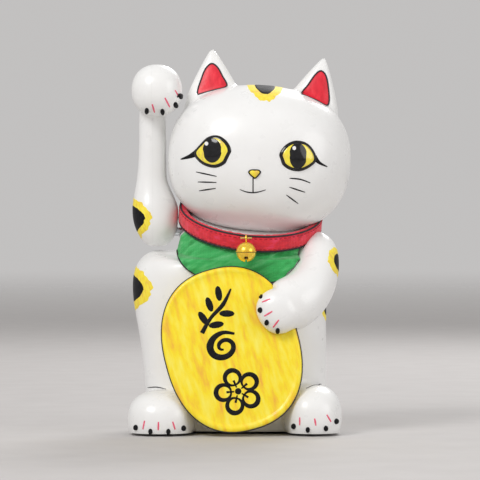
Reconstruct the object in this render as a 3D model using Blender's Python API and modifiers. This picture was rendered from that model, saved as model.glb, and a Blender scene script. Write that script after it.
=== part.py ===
"""Beckoning cat figurine: a plastic cat whose raised arm waves on a battery-driven pendulum.

The scene is in metres with +Z up. Every size below is in millimetres and is scaled once, when
a shape is made. The cat faces -Y and the origin is under the middle of its footprint.
"""
import math

import bmesh
import bpy
from mathutils import Matrix, Vector

MM = 0.001

# Shells
WALL = 2.2
GAP = 0.3
SHELL_BOTTOM = 1.2
ROUNDNESS = 2.6

# Neck: the head and body meet in one tilted plane, which the collar hides
NECK_CENTRE = Vector((4.8, 0.0, 100.5))
NECK_TILT = 21.0
NECK_ROLL = 5.0
NECK_RADIUS = 29.6
COLLAR_RADIUS = 33.7
COLLAR_THICKNESS = 3.5
COLLAR_HALF_HEIGHT = 4.0
COUPLER_RADIUS = 10.0
COUPLER_FLANGE = 15.0
COUPLER_OFFSET = Vector((6.5, 6.0, 0.0))
SKIRT_BORE = 26.5
SKIRT_TOP = 6.5

# Head
HEAD_CENTRE = Vector((9.0, -4.0, 128.0))
HEAD_HALF_SIZE = Vector((43.0, 36.0, 34.8))
HEAD_ROUNDNESS = 2.35
HEAD_ROLL = 4.0
HEAD_SEAM = -3.0

# Body outline, from the floor up: height, left, right, front, back, and how far the front drops
BODY_SECTIONS = (
    (0.5, -42.0, 38.0, -27.0, 36.5, 0.0),
    (6.0, -44.0, 39.6, -28.6, 39.5, 0.0),
    (20.0, -44.9, 40.6, -29.0, 42.0, 0.0),
    (40.0, -46.8, 40.6, -29.0, 42.0, 0.0),
    (60.0, -50.0, 40.3, -28.5, 38.5, 0.0),
    (72.0, -50.4, 39.7, -28.0, 35.5, 2.0),
    (79.0, -48.6, 39.2, -27.8, 33.5, 4.0),
    (83.3, -44.6, 38.6, -27.7, 32.5, 5.0),
    (85.2, -40.0, 38.2, -27.7, 32.0, 6.0),
    (85.5, -28.6, 37.6, -27.7, 31.8, 6.2),
)
# Shoulder rings in the neck's own plane: distance below it, half left, right, front, back
NECK_SECTIONS = (
    (9.0, 33.1, 31.0, 31.5, 31.0),
    (5.5, NECK_RADIUS, NECK_RADIUS, NECK_RADIUS, NECK_RADIUS),
    (0.0, NECK_RADIUS, NECK_RADIUS, NECK_RADIUS, NECK_RADIUS),
)

# Feet: centre and half size
FEET = {
    "left": (Vector((-36.6, -27.0, 7.0)), Vector((15.7, 18.6, 13.5))),
    "right": (Vector((33.7, -27.0, 8.5)), Vector((13.4, 18.6, 14.5))),
}
TAIL_CENTRE = Vector((8.0, 39.5, 20.0))
TAIL_HALF_SIZE = Vector((9.0, 6.3, 9.0))

# Coin
COIN_CENTRE = Vector((-3.9, -37.6, 39.8))
COIN_HALF_LENGTH = 38.4
COIN_HALF_WIDTH = 31.2
COIN_ROUNDNESS = 2.35
COIN_THICKNESS = 4.0
COIN_TILT = -15.0
COIN_LEAN = -9.0

# Waving arm
PIVOT = Vector((-28.0, 0.0, 94.0))
SHAFT_RADIUS = 2.0
SHAFT_END_LEFT = -38.0
SHAFT_END_RIGHT = 0.4
ARM_SEAM = -41.2
# Height, outer edge, inner edge, front, back
ARM_SECTIONS = (
    (87.0, -42.0, -36.0, -3.5, 3.5),
    (88.3, -44.8, -33.8, -6.6, 6.6),
    (91.5, -47.2, -31.2, -9.8, 9.8),
    (95.5, -49.2, -29.7, -11.6, 11.6),
    (100.0, -50.4, -29.4, -12.2, 12.2),
    (106.0, -50.7, -29.5, -11.6, 11.4),
    (112.0, -50.0, -31.9, -10.0, 9.6),
    (118.0, -49.0, -34.4, -9.0, 8.4),
    (126.0, -48.2, -34.9, -8.6, 7.6),
    (137.0, -47.8, -34.9, -8.8, 7.0),
    (147.0, -47.8, -34.9, -9.8, 6.2),
    (155.0, -47.2, -34.9, -12.0, 2.6),
)
PAW_CENTRE = Vector((-39.1, -11.5, 160.2))
PAW_HALF_SIZE = Vector((11.9, 12.0, 12.2))

# Holding arm: centre, half width across, half depth
HOLDING_ARM = (
    (Vector((32.4, -4.0, 91.0)), 4.0, 4.0),
    (Vector((33.4, -6.0, 88.8)), 7.4, 7.4),
    (Vector((35.2, -9.5, 85.0)), 9.8, 9.5),
    (Vector((36.0, -16.0, 79.0)), 10.0, 10.0),
    (Vector((33.8, -23.5, 71.0)), 11.0, 10.5),
    (Vector((29.5, -29.8, 65.0)), 12.0, 10.3),
    (Vector((23.5, -34.4, 60.8)), 13.0, 9.8),
    (Vector((17.5, -37.0, 58.8)), 12.9, 8.8),
    (Vector((12.5, -38.4, 58.2)), 11.0, 7.2),
    (Vector((8.8, -39.2, 58.2)), 7.2, 4.6),
    (Vector((7.4, -39.4, 58.2)), 3.0, 2.0),
)
ARM_WALL = 2.4

# Bib
BIB_CENTRE_X = 3.2
BIB_CENTRE_Z = 88.0
BIB_HALF_WIDTH = 33.5
BIB_DROP = 18.5
BIB_SIDE_Y = -9.0
BIB_CLEARANCE = 0.5
BIB_THICKNESS = 1.2

# Base
BASE_TOP = 4.8
FOOT_PADS = ((-28.0, 20.0), (26.5, 20.0), (-28.0, -13.0), (26.5, -13.0))
FOOT_PAD_RADIUS = 4.5
BASE_SCREWS = ((-35.8, 7.5), (31.4, 7.5), (-35.8, -7.5), (31.4, -7.5))
SCREW_BOSS_RADIUS = 3.6
DOOR_HALF_WIDTH = 16.0
DOOR_FLANGE_HALF_WIDTH = 18.0
DOOR_FRONT = -22.0
DOOR_BACK = 36.2
TRAY_HALF_WIDTH = 17.2
TRAY_FRONT = -28.0
TRAY_BACK = 34.0
TRAY_TOP = 20.6
CELL_RADIUS = 7.1
CELL_LENGTH = 50.0
CELL_X = 7.5
CELL_Z = 11.4

# Mechanism
FRAME_FLOOR = 21.0
UPRIGHT_LEFT = -21.2
UPRIGHT_RIGHT = -2.2
UPRIGHT_THICKNESS = 2.0
UPRIGHT_HALF_WIDTH = 4.2
BUSH_RADIUS = 3.0
LEVER_X = -11.0
WEIGHT_CENTRE = Vector((-6.1, 3.4, 60.0))
WEIGHT_RADIUS = 9.5
WEIGHT_THICKNESS = 6.2
MAGNET_TOP = 40.2
MAGNET_BOTTOM = 36.2
COIL_BOTTOM = 23.1
COIL_TOP = 34.4
COIL_RADIUS = 7.0

# Switch
SWITCH_X = 24.0
SWITCH_Y = 0.0
SWITCH_TRAVEL = 3.0

# Bell
BELL_CENTRE = Vector((2.7, -37.8, 84.7))
BELL_RADIUS = 4.6
BELL_WALL = 0.5
BELL_PIVOT_Z = 91.2
STAPLE_HALF_WIDTH = 2.4
STAPLE_WIRE = 0.45

WHITE = (0.92, 0.92, 0.9, 1.0)
RED = (0.86, 0.02, 0.04, 1.0)
GREEN = (0.04, 0.46, 0.11, 1.0)
YELLOW = (1.0, 0.74, 0.02, 1.0)
BLACK = (0.01, 0.01, 0.01, 1.0)
STEEL = (0.6, 0.61, 0.63, 1.0)
BRASS = (0.82, 0.6, 0.2, 1.0)
COPPER = (0.72, 0.3, 0.12, 1.0)
GREY = (0.2, 0.2, 0.21, 1.0)

# Colour, roughness, metallic
FINISHES = {
    "white_plastic": (WHITE, 0.25, 0.0),
    "white_inner_plastic": (WHITE, 0.5, 0.0),
    "red_plastic": (RED, 0.35, 0.0),
    "gold_plastic": (YELLOW, 0.4, 0.1),
    "eye_plastic": (BLACK, 0.1, 0.0),
    "red_cloth": (RED, 0.85, 0.0),
    "green_cloth": (GREEN, 0.9, 0.0),
    "brass": (BRASS, 0.3, 1.0),
    "steel": (STEEL, 0.3, 1.0),
    "rubber": (GREY, 0.9, 0.0),
    "black_plastic": (BLACK, 0.45, 0.0),
    "copper": (COPPER, 0.3, 1.0),
    "board_green": ((0.02, 0.2, 0.06, 1.0), 0.5, 0.0),
    "cell_wrap": ((0.05, 0.09, 0.3, 1.0), 0.35, 0.2),
}


# ---------------------------------------------------------------- scene and materials

def clear_scene():
    for old in list(bpy.data.objects):
        bpy.data.objects.remove(old, do_unlink=True)


def new_collection(name):
    collection = bpy.data.collections.new(name)
    bpy.context.scene.collection.children.link(collection)
    return collection


def make_finishes():
    made = {}
    for name, (colour, roughness, metallic) in FINISHES.items():
        finish = bpy.data.materials.new(name)
        finish.use_nodes = True
        shader = finish.node_tree.nodes["Principled BSDF"]
        shader.inputs["Base Color"].default_value = colour
        shader.inputs["Roughness"].default_value = roughness
        shader.inputs["Metallic"].default_value = metallic
        made[name] = finish
    return made


clear_scene()
PARTS = new_collection("beckoning_cat")
CUTTERS = new_collection("cutters")
FINISH = make_finishes()


# ---------------------------------------------------------------- shape helpers

def place(name, bm, finish, smooth=True):
    """Turn a bmesh built in millimetres into a part, or into a cutter when finish is None."""
    bmesh.ops.scale(bm, vec=(MM, MM, MM), verts=bm.verts)
    mesh = bpy.data.meshes.new(name)
    bm.to_mesh(mesh)
    bm.free()
    thing = bpy.data.objects.new(name, mesh)
    if finish is None:
        CUTTERS.objects.link(thing)
        thing.hide_render = True
        thing.display_type = "WIRE"
        return thing
    PARTS.objects.link(thing)
    mesh.materials.append(FINISH[finish])
    if smooth:
        mesh.shade_smooth()
        mesh.set_sharp_from_angle(angle=math.radians(35))
    return thing


def set_origin(thing, point):
    """Move an object's origin to a point, in millimetres, and leave its shape where it is."""
    offset = Vector(point) * MM
    thing.data.transform(Matrix.Translation(-offset))
    thing.location = offset


def box(name, low, high, finish=None):
    low = Vector(low)
    high = Vector(high)
    bm = bmesh.new()
    bmesh.ops.create_cube(bm, size=1.0)
    bmesh.ops.scale(bm, vec=high - low, verts=bm.verts)
    bmesh.ops.translate(bm, vec=(low + high) / 2, verts=bm.verts)
    return place(name, bm, finish, smooth=False)


def cylinder(name, start, end, radius, finish=None, segments=24, end_radius=None):
    """A round bar, or a cone when it has an end_radius, from one point to another."""
    start = Vector(start)
    end = Vector(end)
    length = (end - start).length
    turn = (end - start).to_track_quat("Z", "Y").to_matrix().to_4x4()
    bm = bmesh.new()
    bmesh.ops.create_cone(
        bm, cap_ends=True, segments=segments, radius1=radius,
        radius2=radius if end_radius is None else end_radius, depth=length,
        matrix=Matrix.Translation((start + end) / 2) @ turn)
    return place(name, bm, finish)


def superellipsoid(name, centre, half_size, roundness, finish=None, turn=None, segments=24, rings=14):
    """A ball whose sides bulge towards a box as its roundness grows above 2."""
    bm = bmesh.new()
    bmesh.ops.create_uvsphere(bm, u_segments=segments, v_segments=rings, radius=1.0)
    for vert in bm.verts:
        size = sum(abs(value) ** roundness for value in vert.co) ** (1 / roundness)
        vert.co = Vector(value / size * half for value, half in zip(vert.co, half_size))
    matrix = Matrix.Translation(centre) @ (turn or Matrix.Identity(4))
    bmesh.ops.transform(bm, matrix=matrix, verts=bm.verts)
    return place(name, bm, finish)


def outline(right, left, front, back, roundness, segments):
    """Closed superellipse around the origin with its own reach in each of four directions."""
    points = []
    for step in range(segments):
        angle = 2 * math.pi * step / segments
        across = math.cos(angle)
        along = math.sin(angle)
        x = math.copysign(abs(across) ** (2 / roundness), across)
        y = math.copysign(abs(along) ** (2 / roundness), along)
        x *= right if across > 0 else left
        y *= back if along > 0 else front
        points.append(Vector((x, y, 0.0)))
    return points


def loft(name, rings, finish=None):
    """Closed solid through a stack of rings that all have the same number of points."""
    bm = bmesh.new()
    rows = [[bm.verts.new(point) for point in ring] for ring in rings]
    count = len(rows[0])
    for lower, upper in zip(rows, rows[1:]):
        for index in range(count):
            after = (index + 1) % count
            bm.faces.new((lower[index], lower[after], upper[after], upper[index]))
    bm.faces.new(list(reversed(rows[0])))
    bm.faces.new(rows[-1])
    bmesh.ops.triangulate(bm, faces=bm.faces[:])
    bmesh.ops.recalc_face_normals(bm, faces=bm.faces[:])
    return place(name, bm, finish)


def turned(name, profile, finish=None, matrix=None, steps=32, closed=False):
    """Solid of revolution about Z. The profile runs down its outer side as (radius, height)."""
    bm = bmesh.new()
    verts = [bm.verts.new((radius, 0.0, height)) for radius, height in profile]
    for first, second in zip(verts, verts[1:]):
        bm.edges.new((first, second))
    if closed:
        bm.edges.new((verts[-1], verts[0]))
    thing = place(name, bm, finish)
    screw = thing.modifiers.new("turn", "SCREW")
    screw.steps = steps
    screw.render_steps = steps
    screw.use_merge_vertices = True
    screw.merge_threshold = 0.00001
    screw.use_smooth_shade = True
    if matrix is not None:
        scaled = matrix.copy()
        scaled.translation = matrix.translation * MM
        thing.matrix_world = scaled
    return thing


def boolean(target, cutter, operation="DIFFERENCE"):
    modifier = target.modifiers.new(f"{operation.lower()} {cutter.name}", "BOOLEAN")
    modifier.operation = operation
    modifier.object = cutter
    modifier.solver = "EXACT"


def join(target, *cutters):
    for cutter in cutters:
        boolean(target, cutter, "UNION")


def cut(target, *cutters):
    for cutter in cutters:
        boolean(target, cutter, "DIFFERENCE")


def keep_inside(target, cutter):
    boolean(target, cutter, "INTERSECT")


def wire(name, points, radius, finish):
    """Round wire through straight legs, as one welded mesh."""
    data = bpy.data.curves.new(name, "CURVE")
    data.dimensions = "3D"
    data.bevel_depth = radius * MM
    data.bevel_resolution = 1
    data.use_fill_caps = True
    spline = data.splines.new("POLY")
    spline.points.add(len(points) - 1)
    for spot, point in zip(spline.points, points):
        spot.co = (point[0] * MM, point[1] * MM, point[2] * MM, 1.0)
    guide = bpy.data.objects.new(name + "_guide", data)
    PARTS.objects.link(guide)
    bpy.context.view_layer.update()
    evaluated = guide.evaluated_get(bpy.context.evaluated_depsgraph_get())
    mesh = bpy.data.meshes.new_from_object(evaluated)
    bpy.data.objects.remove(guide, do_unlink=True)
    bm = bmesh.new()
    bm.from_mesh(mesh)
    bmesh.ops.remove_doubles(bm, verts=bm.verts, dist=0.00001)
    bm.to_mesh(mesh)
    bm.free()
    mesh.name = name
    mesh.materials.clear()
    mesh.materials.append(FINISH[finish])
    mesh.shade_smooth()
    thing = bpy.data.objects.new(name, mesh)
    PARTS.objects.link(thing)
    return thing


def turn_about_y(degrees):
    return Matrix.Rotation(math.radians(degrees), 4, "Y")


def neck_matrix():
    lean = Matrix.Rotation(math.radians(NECK_TILT), 4, "X")
    return Matrix.Translation(NECK_CENTRE) @ turn_about_y(NECK_ROLL) @ lean


NECK = neck_matrix()


# ---------------------------------------------------------------- body shells

BODY_SEGMENTS = 28


def body_rings(inset):
    """The body's stack of rings, moved inwards by inset (outwards when it is negative)."""
    rings = []
    for height, left, right, front, back, drop in BODY_SECTIONS:
        shoulder = height > 80.0
        centre = Vector((NECK_CENTRE.x, 0.0, height - (inset if shoulder else 0.0)))
        ring = outline(
            right - centre.x - inset, centre.x - left - inset, -front - inset, back - inset,
            ROUNDNESS, BODY_SEGMENTS)
        for point in ring:
            if point.y < 0:
                point.z -= drop * point.y / front
        rings.append([point + centre for point in ring])
    for below, left, right, front, back in NECK_SECTIONS:
        ring = outline(right - inset, left - inset, front - inset, back - inset, 2.0, BODY_SEGMENTS)
        level = Vector((0.0, 0.0, -below - inset))
        rings.append([NECK @ (point + level) for point in ring])
    return rings


def cavity_rings():
    """The inside of the body, which runs out through the open bottom."""
    rings = body_rings(WALL)
    below_floor = [Vector((point.x, point.y, -3.0)) for point in rings[0]]
    return [below_floor] + rings


def foot(name, side, inset):
    centre, half_size = FEET[side]
    shrunk = Vector(value - inset for value in half_size)
    return superellipsoid(name, centre, shrunk, 2.4, segments=14, rings=8)


def coin_matrix():
    lean = Matrix.Rotation(math.radians(COIN_LEAN), 4, "X")
    return Matrix.Translation(COIN_CENTRE) @ lean @ turn_about_y(COIN_TILT)


def coin_rings(levels):
    """Rings across the coin's thickness: (distance behind the front face, inset)."""
    matrix = coin_matrix()
    upright = Matrix.Rotation(math.radians(90), 4, "X")
    rings = []
    for depth, inset in levels:
        flat = outline(
            COIN_HALF_WIDTH - inset, COIN_HALF_WIDTH - inset, COIN_HALF_LENGTH - inset,
            COIN_HALF_LENGTH - inset, COIN_ROUNDNESS, 36)
        shift = Vector((0.0, depth - COIN_THICKNESS / 2, 0.0))
        rings.append([matrix @ (upright @ point + shift) for point in flat])
    return rings


def channel(name):
    """Groove that the battery door slides in, open to the back."""
    opening = box(
        name, (-DOOR_HALF_WIDTH - 0.4, DOOR_FRONT - 0.4, -2.0),
        (DOOR_HALF_WIDTH + 0.4, 60.0, 3.6))
    flange = box(
        name + "_flange", (-DOOR_FLANGE_HALF_WIDTH - 0.4, DOOR_FRONT - 0.4, 2.1),
        (DOOR_FLANGE_HALF_WIDTH + 0.4, 60.0, 3.6))
    join(opening, flange)
    return opening


def boss_cutters(name, x, y):
    """Screw boss with a rib to the shell's side, and its pilot hole."""
    outward = math.copysign(6.6, x)
    pin = cylinder(name, (x, y, BASE_TOP + GAP), (x, y, 15.0), SCREW_BOSS_RADIUS, segments=16)
    low = (min(x, x + outward), y - 1.2, BASE_TOP + GAP + 0.5)
    high = (max(x, x + outward), y + 1.2, 14.0)
    rib = box(name + "_rib", low, high)
    pilot = cylinder(name + "_pilot", (x, y, 0.0), (x, y, 12.6), 1.6, segments=12)
    return pin, rib, pilot


BODY_CAVITY = loft("body_cavity", cavity_rings())
FOOT_LEFT_CORE = foot("foot_left_core", "left", 0.0)
FOOT_RIGHT_CORE = foot("foot_right_core", "right", 0.0)
FOOT_LEFT_CAVITY = foot("foot_left_cavity", "left", WALL)
FOOT_RIGHT_CAVITY = foot("foot_right_cavity", "right", WALL)
TAIL_CORE = superellipsoid("tail_core", TAIL_CENTRE, TAIL_HALF_SIZE, 2.2, segments=12, rings=8)
COIN_POCKET = loft("coin_pocket", coin_rings(((-8.0, -0.4), (COIN_THICKNESS + 0.4, -0.4))))
COIN_SLOT = loft("coin_slot", coin_rings(((-0.4, -0.4), (COIN_THICKNESS + 0.45, -0.4))))
BELOW_SHELL = box("below_shell", (-80, -80, -30), (80, 80, SHELL_BOTTOM))
CAVITY_FLOOR = box("cavity_floor", (-80, -80, -30), (80, 80, SHELL_BOTTOM + WALL))
DECK_HOLE = cylinder(
    "deck_hole", NECK @ (COUPLER_OFFSET + Vector((0, 0, -12))),
    NECK @ (COUPLER_OFFSET + Vector((0, 0, 12))), COUPLER_RADIUS + GAP)
SHAFT_HOLE = cylinder(
    "shaft_hole", (-36.0, PIVOT.y, PIVOT.z), (-18.0, PIVOT.y, PIVOT.z), SHAFT_RADIUS + 1.0)
DOOR_CHANNEL = channel("door_channel")
cut(FOOT_LEFT_CAVITY, CAVITY_FLOOR)
cut(FOOT_RIGHT_CAVITY, CAVITY_FLOOR)


def body_shell(name, near, far):
    """One half of the hollow body, between two Y planes."""
    shell = loft(name, body_rings(0.0), "white_plastic")
    if near < 0:
        join(shell, FOOT_LEFT_CORE, FOOT_RIGHT_CORE)
        cut(shell, BODY_CAVITY, FOOT_LEFT_CAVITY, FOOT_RIGHT_CAVITY, COIN_POCKET)
    else:
        cut(shell, BODY_CAVITY)
        join(shell, TAIL_CORE)
        cut(shell, DOOR_CHANNEL)
    keep_inside(shell, box(name + "_half", (-80, near, -5), (80, far, 150)))
    for number, (x, y) in enumerate(BASE_SCREWS):
        if near < y < far:
            pin, rib, pilot = boss_cutters(f"{name}_boss_{number}", x, y)
            join(shell, pin, rib)
            cut(shell, pilot)
    cut(shell, DECK_HOLE, SHAFT_HOLE, BELOW_SHELL)
    return shell


def make_body():
    body_shell("body_front_shell", -80, -GAP / 2)
    body_shell("body_rear_shell", GAP / 2, 80)


# ---------------------------------------------------------------- head

# Each ear: base centre, tip, half width at the base
EARS = {
    "left": (Vector((-12.2, HEAD_SEAM, 152.0)), Vector((-13.2, HEAD_SEAM + 0.5, 180.0)), 14.4),
    "right": (Vector((32.4, HEAD_SEAM, 147.0)), Vector((39.6, HEAD_SEAM + 0.5, 175.8)), 14.2),
}
EAR_HALF_DEPTH = 8.0
# Along the ear from base to tip: fraction of length, of width, of depth
EAR_STEPS = (
    (0.0, 1.0, 1.0), (0.25, 0.86, 0.86), (0.5, 0.63, 0.68), (0.75, 0.36, 0.46), (0.92, 0.16, 0.26),
    (1.0, 0.05, 0.1),
)
EYES = {
    "left": Vector((-12.6, 0.0, 131.1)),
    "right": Vector((26.2, 0.0, 129.0)),
}
EYE_HALF_SIZE = Vector((8.4, 1.9, 7.4))
NOSE_CENTRE = Vector((6.6, 0.0, 120.7))
NOSE_HALF_SIZE = Vector((2.9, 1.6, 2.1))


def head_surface(x, z):
    """Y of the front of the head at a place seen from the front, roll left out."""
    across = abs((x - HEAD_CENTRE.x) / HEAD_HALF_SIZE.x) ** HEAD_ROUNDNESS
    upward = abs((z - HEAD_CENTRE.z) / HEAD_HALF_SIZE.z) ** HEAD_ROUNDNESS
    return HEAD_CENTRE.y - HEAD_HALF_SIZE.y * (1 - across - upward) ** (1 / HEAD_ROUNDNESS)


def facing(x, z):
    """Turn that points -Y along the head's outward normal at a place on its face."""
    step = 1.0
    slope_x = (head_surface(x + step, z) - head_surface(x - step, z)) / (2 * step)
    slope_z = (head_surface(x, z + step) - head_surface(x, z - step)) / (2 * step)
    normal = Vector((slope_x, -1.0, slope_z)).normalized()
    return normal.to_track_quat("-Y", "Z").to_matrix().to_4x4()


def head_ball(name, inset, finish=None):
    half_size = Vector(value - inset for value in HEAD_HALF_SIZE)
    return superellipsoid(
        name, HEAD_CENTRE, half_size, HEAD_ROUNDNESS, finish, turn_about_y(HEAD_ROLL),
        segments=24, rings=14)


def ear_core(name, side):
    base, tip, half_width = EARS[side]
    upward = (tip - base).normalized()
    across = upward.cross(Vector((0, 1, 0))).normalized()
    back = Vector((0, 1, 0))
    rings = []
    for along, width, depth in EAR_STEPS:
        centre = base.lerp(tip, along)
        flat = outline(
            half_width * width, half_width * width, EAR_HALF_DEPTH * depth, EAR_HALF_DEPTH * depth,
            2.8, 14)
        rings.append([centre + across * point.x + back * point.y for point in flat])
    return loft(name, rings)


def ear_plate(name, side, grow, finish=None):
    """Three-cornered plate let into the front of the ear."""
    base, tip, half_width = EARS[side]
    upward = (tip - base).normalized()
    across = upward.cross(Vector((0, 1, 0))).normalized()
    slope = Vector((0.0, -0.24, 0.0))
    low = base.lerp(tip, 0.36) - upward * grow
    high = base.lerp(tip, 0.8) + upward * grow * 1.6
    half = half_width * 0.56 + grow * 1.3
    front = Vector((0, -EAR_HALF_DEPTH * 0.78 - grow * 3, 0))
    back = Vector((0, -EAR_HALF_DEPTH * 0.5 + grow, 0))
    length = (high - low).length
    corners = [low - across * half, low + across * half, high + across * 0.6, high - across * 0.6]
    lean = [0.0, 0.0, length, length]
    rings = []
    for depth in (back, front):
        rings.append([spot + depth - slope * reach for spot, reach in zip(corners, lean)])
    return loft(name, rings, finish)


def face_dome(name, place_on_face, half_size, grow, finish=None, segments=16):
    x, z = place_on_face.x, place_on_face.z
    centre = Vector((x, head_surface(x, z) - 0.4, z))
    grown = Vector(value + grow for value in half_size)
    return superellipsoid(name, centre, grown, 2.0, finish, facing(x, z), segments, rings=8)


def collar_profile(grow):
    outer = COLLAR_RADIUS + grow
    inner = COLLAR_RADIUS - COLLAR_THICKNESS - grow
    half = COLLAR_HALF_HEIGHT + grow
    round_over = 1.0
    return (
        (outer - round_over, half), (outer, half - round_over), (outer, round_over - half),
        (outer - round_over, -half), (inner, -half), (inner, half),
    )


COLLAR_ROOM = turned("collar_room", collar_profile(GAP), None, NECK, steps=32, closed=True)
def neck_bar(name, low, high, radius):
    """Round bar along the neck's axis, between two heights above the neck's plane."""
    return cylinder(
        name, NECK @ Vector((0, 0, low)), NECK @ Vector((0, 0, high)), radius, segments=32)


def head_cavity():
    """Inside of the head, which leaves a thick rim above the collar around the opening."""
    cavity = head_ball("head_cavity", WALL)
    rim = neck_bar("neck_rim", GAP, SKIRT_TOP, 50.0)
    cut(rim, neck_bar("neck_bore", -5.0, 20.0, SKIRT_BORE))
    cut(cavity, rim)
    return cavity


HEAD_CAVITY = head_cavity()
BELOW_NECK = box("below_neck", (-60, -60, -60), (60, 60, GAP))
BELOW_NECK.matrix_world = Matrix.Translation(NECK.translation * MM) @ NECK.to_3x3().to_4x4()


def head_shell(name, near, far):
    shell = head_ball(name, 0.0, "white_plastic")
    for side in EARS:
        join(shell, ear_core(f"{name}_ear_{side}", side))
    cut(shell, HEAD_CAVITY, BELOW_NECK, COLLAR_ROOM)
    keep_inside(shell, box(name + "_half", (-80, near, 60), (80, far, 200)))
    if near < HEAD_SEAM:
        for side, spot in EYES.items():
            cut(shell, face_dome(f"eye_pocket_{side}", spot, EYE_HALF_SIZE, GAP))
        cut(shell, face_dome("nose_pocket", NOSE_CENTRE, NOSE_HALF_SIZE, GAP, segments=10))
        for side in EARS:
            cut(shell, ear_plate(f"ear_pocket_{side}", side, GAP))
    return shell


def make_head():
    head_shell("head_front_shell", -80, HEAD_SEAM - GAP / 2)
    head_shell("head_rear_shell", HEAD_SEAM + GAP / 2, 80)
    for side, spot in EYES.items():
        face_dome(f"eye_{side}", spot, EYE_HALF_SIZE, 0.0, "eye_plastic")
        ear_plate(f"ear_insert_{side}", side, 0.0, "red_plastic")
    face_dome("nose", NOSE_CENTRE, NOSE_HALF_SIZE, 0.0, "gold_plastic", segments=10)


# ---------------------------------------------------------------- neck and collar

def make_neck():
    seat = NECK @ Matrix.Translation(COUPLER_OFFSET)
    bore = COUPLER_RADIUS - 2.0
    profile = (
        (COUPLER_FLANGE, 2.4), (COUPLER_FLANGE, 0.4), (COUPLER_RADIUS, 0.4), (COUPLER_RADIUS, -5.0),
        (bore, -5.0), (bore, 2.4),
    )
    turned("neck_coupler", profile, "white_inner_plastic", seat, steps=24, closed=True)


def make_collar():
    turned("collar", collar_profile(0.0), "red_cloth", NECK, steps=32, closed=True)


# ---------------------------------------------------------------- coin and holding arm

def make_coin():
    levels = (
        (COIN_THICKNESS, 1.0), (COIN_THICKNESS - 0.9, 0.0), (0.9, 0.0), (0.0, 0.9), (0.0, 2.4),
        (0.7, 3.2),
    )
    loft("koban_coin", list(reversed(coin_rings(levels))), "gold_plastic")


def limb_rings(stations, grow, segments=14):
    """Rings square to a limb's line: each station has a centre and two half sizes."""
    rings = []
    last = len(stations) - 1
    for index, (centre, half_width, half_depth) in enumerate(stations):
        before = stations[max(index - 1, 0)][0]
        after = stations[min(index + 1, last)][0]
        direction = (after - before).normalized()
        side = direction.cross(Vector((0, 1, 0))).normalized()
        out = side.cross(direction).normalized()
        end = centre.copy()
        if index == 0:
            end -= direction * grow
        if index == last:
            end += direction * grow
        flat = outline(
            half_width + grow, half_width + grow, half_depth + grow, half_depth + grow, 2.0, segments)
        rings.append([end + side * point.x + out * point.y for point in flat])
    return rings


def make_holding_arm():
    arm = loft("holding_arm", limb_rings(HOLDING_ARM, 0.0), "white_plastic")
    hollow = loft("holding_arm_hollow", limb_rings(HOLDING_ARM[1:6], -ARM_WALL))
    body = loft("body_grown", body_rings(-GAP))
    cut(arm, hollow, body, COIN_SLOT, COLLAR_ROOM)


# ---------------------------------------------------------------- bib

def bib_outline(y):
    flat = outline(
        BIB_HALF_WIDTH, BIB_HALF_WIDTH, BIB_DROP, BIB_DROP, 2.4, 36)
    return [Vector((point.x + BIB_CENTRE_X, y, point.y + BIB_CENTRE_Z)) for point in flat]


def make_bib():
    """A round-bottomed sheet that follows the chest, from the collar's lower edge down."""
    bib = loft("bib", body_rings(-BIB_CLEARANCE - BIB_THICKNESS), "green_cloth")
    cut(bib, loft("chest", body_rings(-BIB_CLEARANCE)))
    keep_inside(bib, loft("bib_outline", (bib_outline(-60.0), bib_outline(BIB_SIDE_Y))))
    above = box("above_collar_edge", (-80, -80, -COLLAR_HALF_HEIGHT - 0.5), (80, 80, 80))
    above.matrix_world = Matrix.Translation(NECK.translation * MM) @ NECK.to_3x3().to_4x4()
    arm = loft("holding_arm_grown", limb_rings(HOLDING_ARM, 0.4))
    cut(bib, above, arm, COIN_SLOT)


# ---------------------------------------------------------------- waving arm

def arm_rings(inset):
    rings = []
    last = len(ARM_SECTIONS) - 1
    for index, (height, outer, inner, front, back) in enumerate(ARM_SECTIONS):
        centre = Vector((ARM_SEAM, 0.0, height))
        if index == 0:
            centre.z += inset
        if index == last:
            centre.z -= inset
        ring = outline(
            inner - centre.x - inset, centre.x - outer - inset, -front - inset, back - inset, 2.3, 18)
        rings.append([point + centre for point in ring])
    return rings


def arm_shell(name, low_x, high_x):
    shell = loft(name, arm_rings(0.0), "white_plastic")
    paw = superellipsoid(name + "_paw", PAW_CENTRE, PAW_HALF_SIZE, 2.2, segments=18, rings=10)
    paw_half = Vector(value - WALL for value in PAW_HALF_SIZE)
    paw_hollow = superellipsoid(name + "_paw_hollow", PAW_CENTRE, paw_half, 2.2, segments=18, rings=10)
    join(shell, paw)
    cut(shell, loft(name + "_hollow", arm_rings(WALL)), paw_hollow)
    if high_x > PIVOT.x - 5:
        boss = cylinder(
            name + "_boss", (ARM_SEAM + 1.0, PIVOT.y, PIVOT.z), (-30.5, PIVOT.y, PIVOT.z), 4.4,
            segments=16)
        join(shell, boss)
    keep_inside(shell, box(name + "_half", (low_x, -80, 60), (high_x, 80, 200)))
    bore = cylinder(
        name + "_bore", (SHAFT_END_LEFT - GAP, PIVOT.y, PIVOT.z), (-20.0, PIVOT.y, PIVOT.z),
        SHAFT_RADIUS + GAP, segments=16)
    cut(shell, bore)
    set_arm_origin(shell)
    return shell


def set_arm_origin(thing):
    set_origin(thing, PIVOT)


def make_waving_arm():
    arm_shell("arm_outer_shell", -80, ARM_SEAM - GAP / 2)
    arm_shell("arm_inner_shell", ARM_SEAM + GAP / 2, 0)
    shaft = cylinder(
        "arm_shaft", (SHAFT_END_LEFT, PIVOT.y, PIVOT.z), (SHAFT_END_RIGHT, PIVOT.y, PIVOT.z),
        SHAFT_RADIUS, "steel", segments=16)
    set_arm_origin(shaft)
    make_lever()


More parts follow.
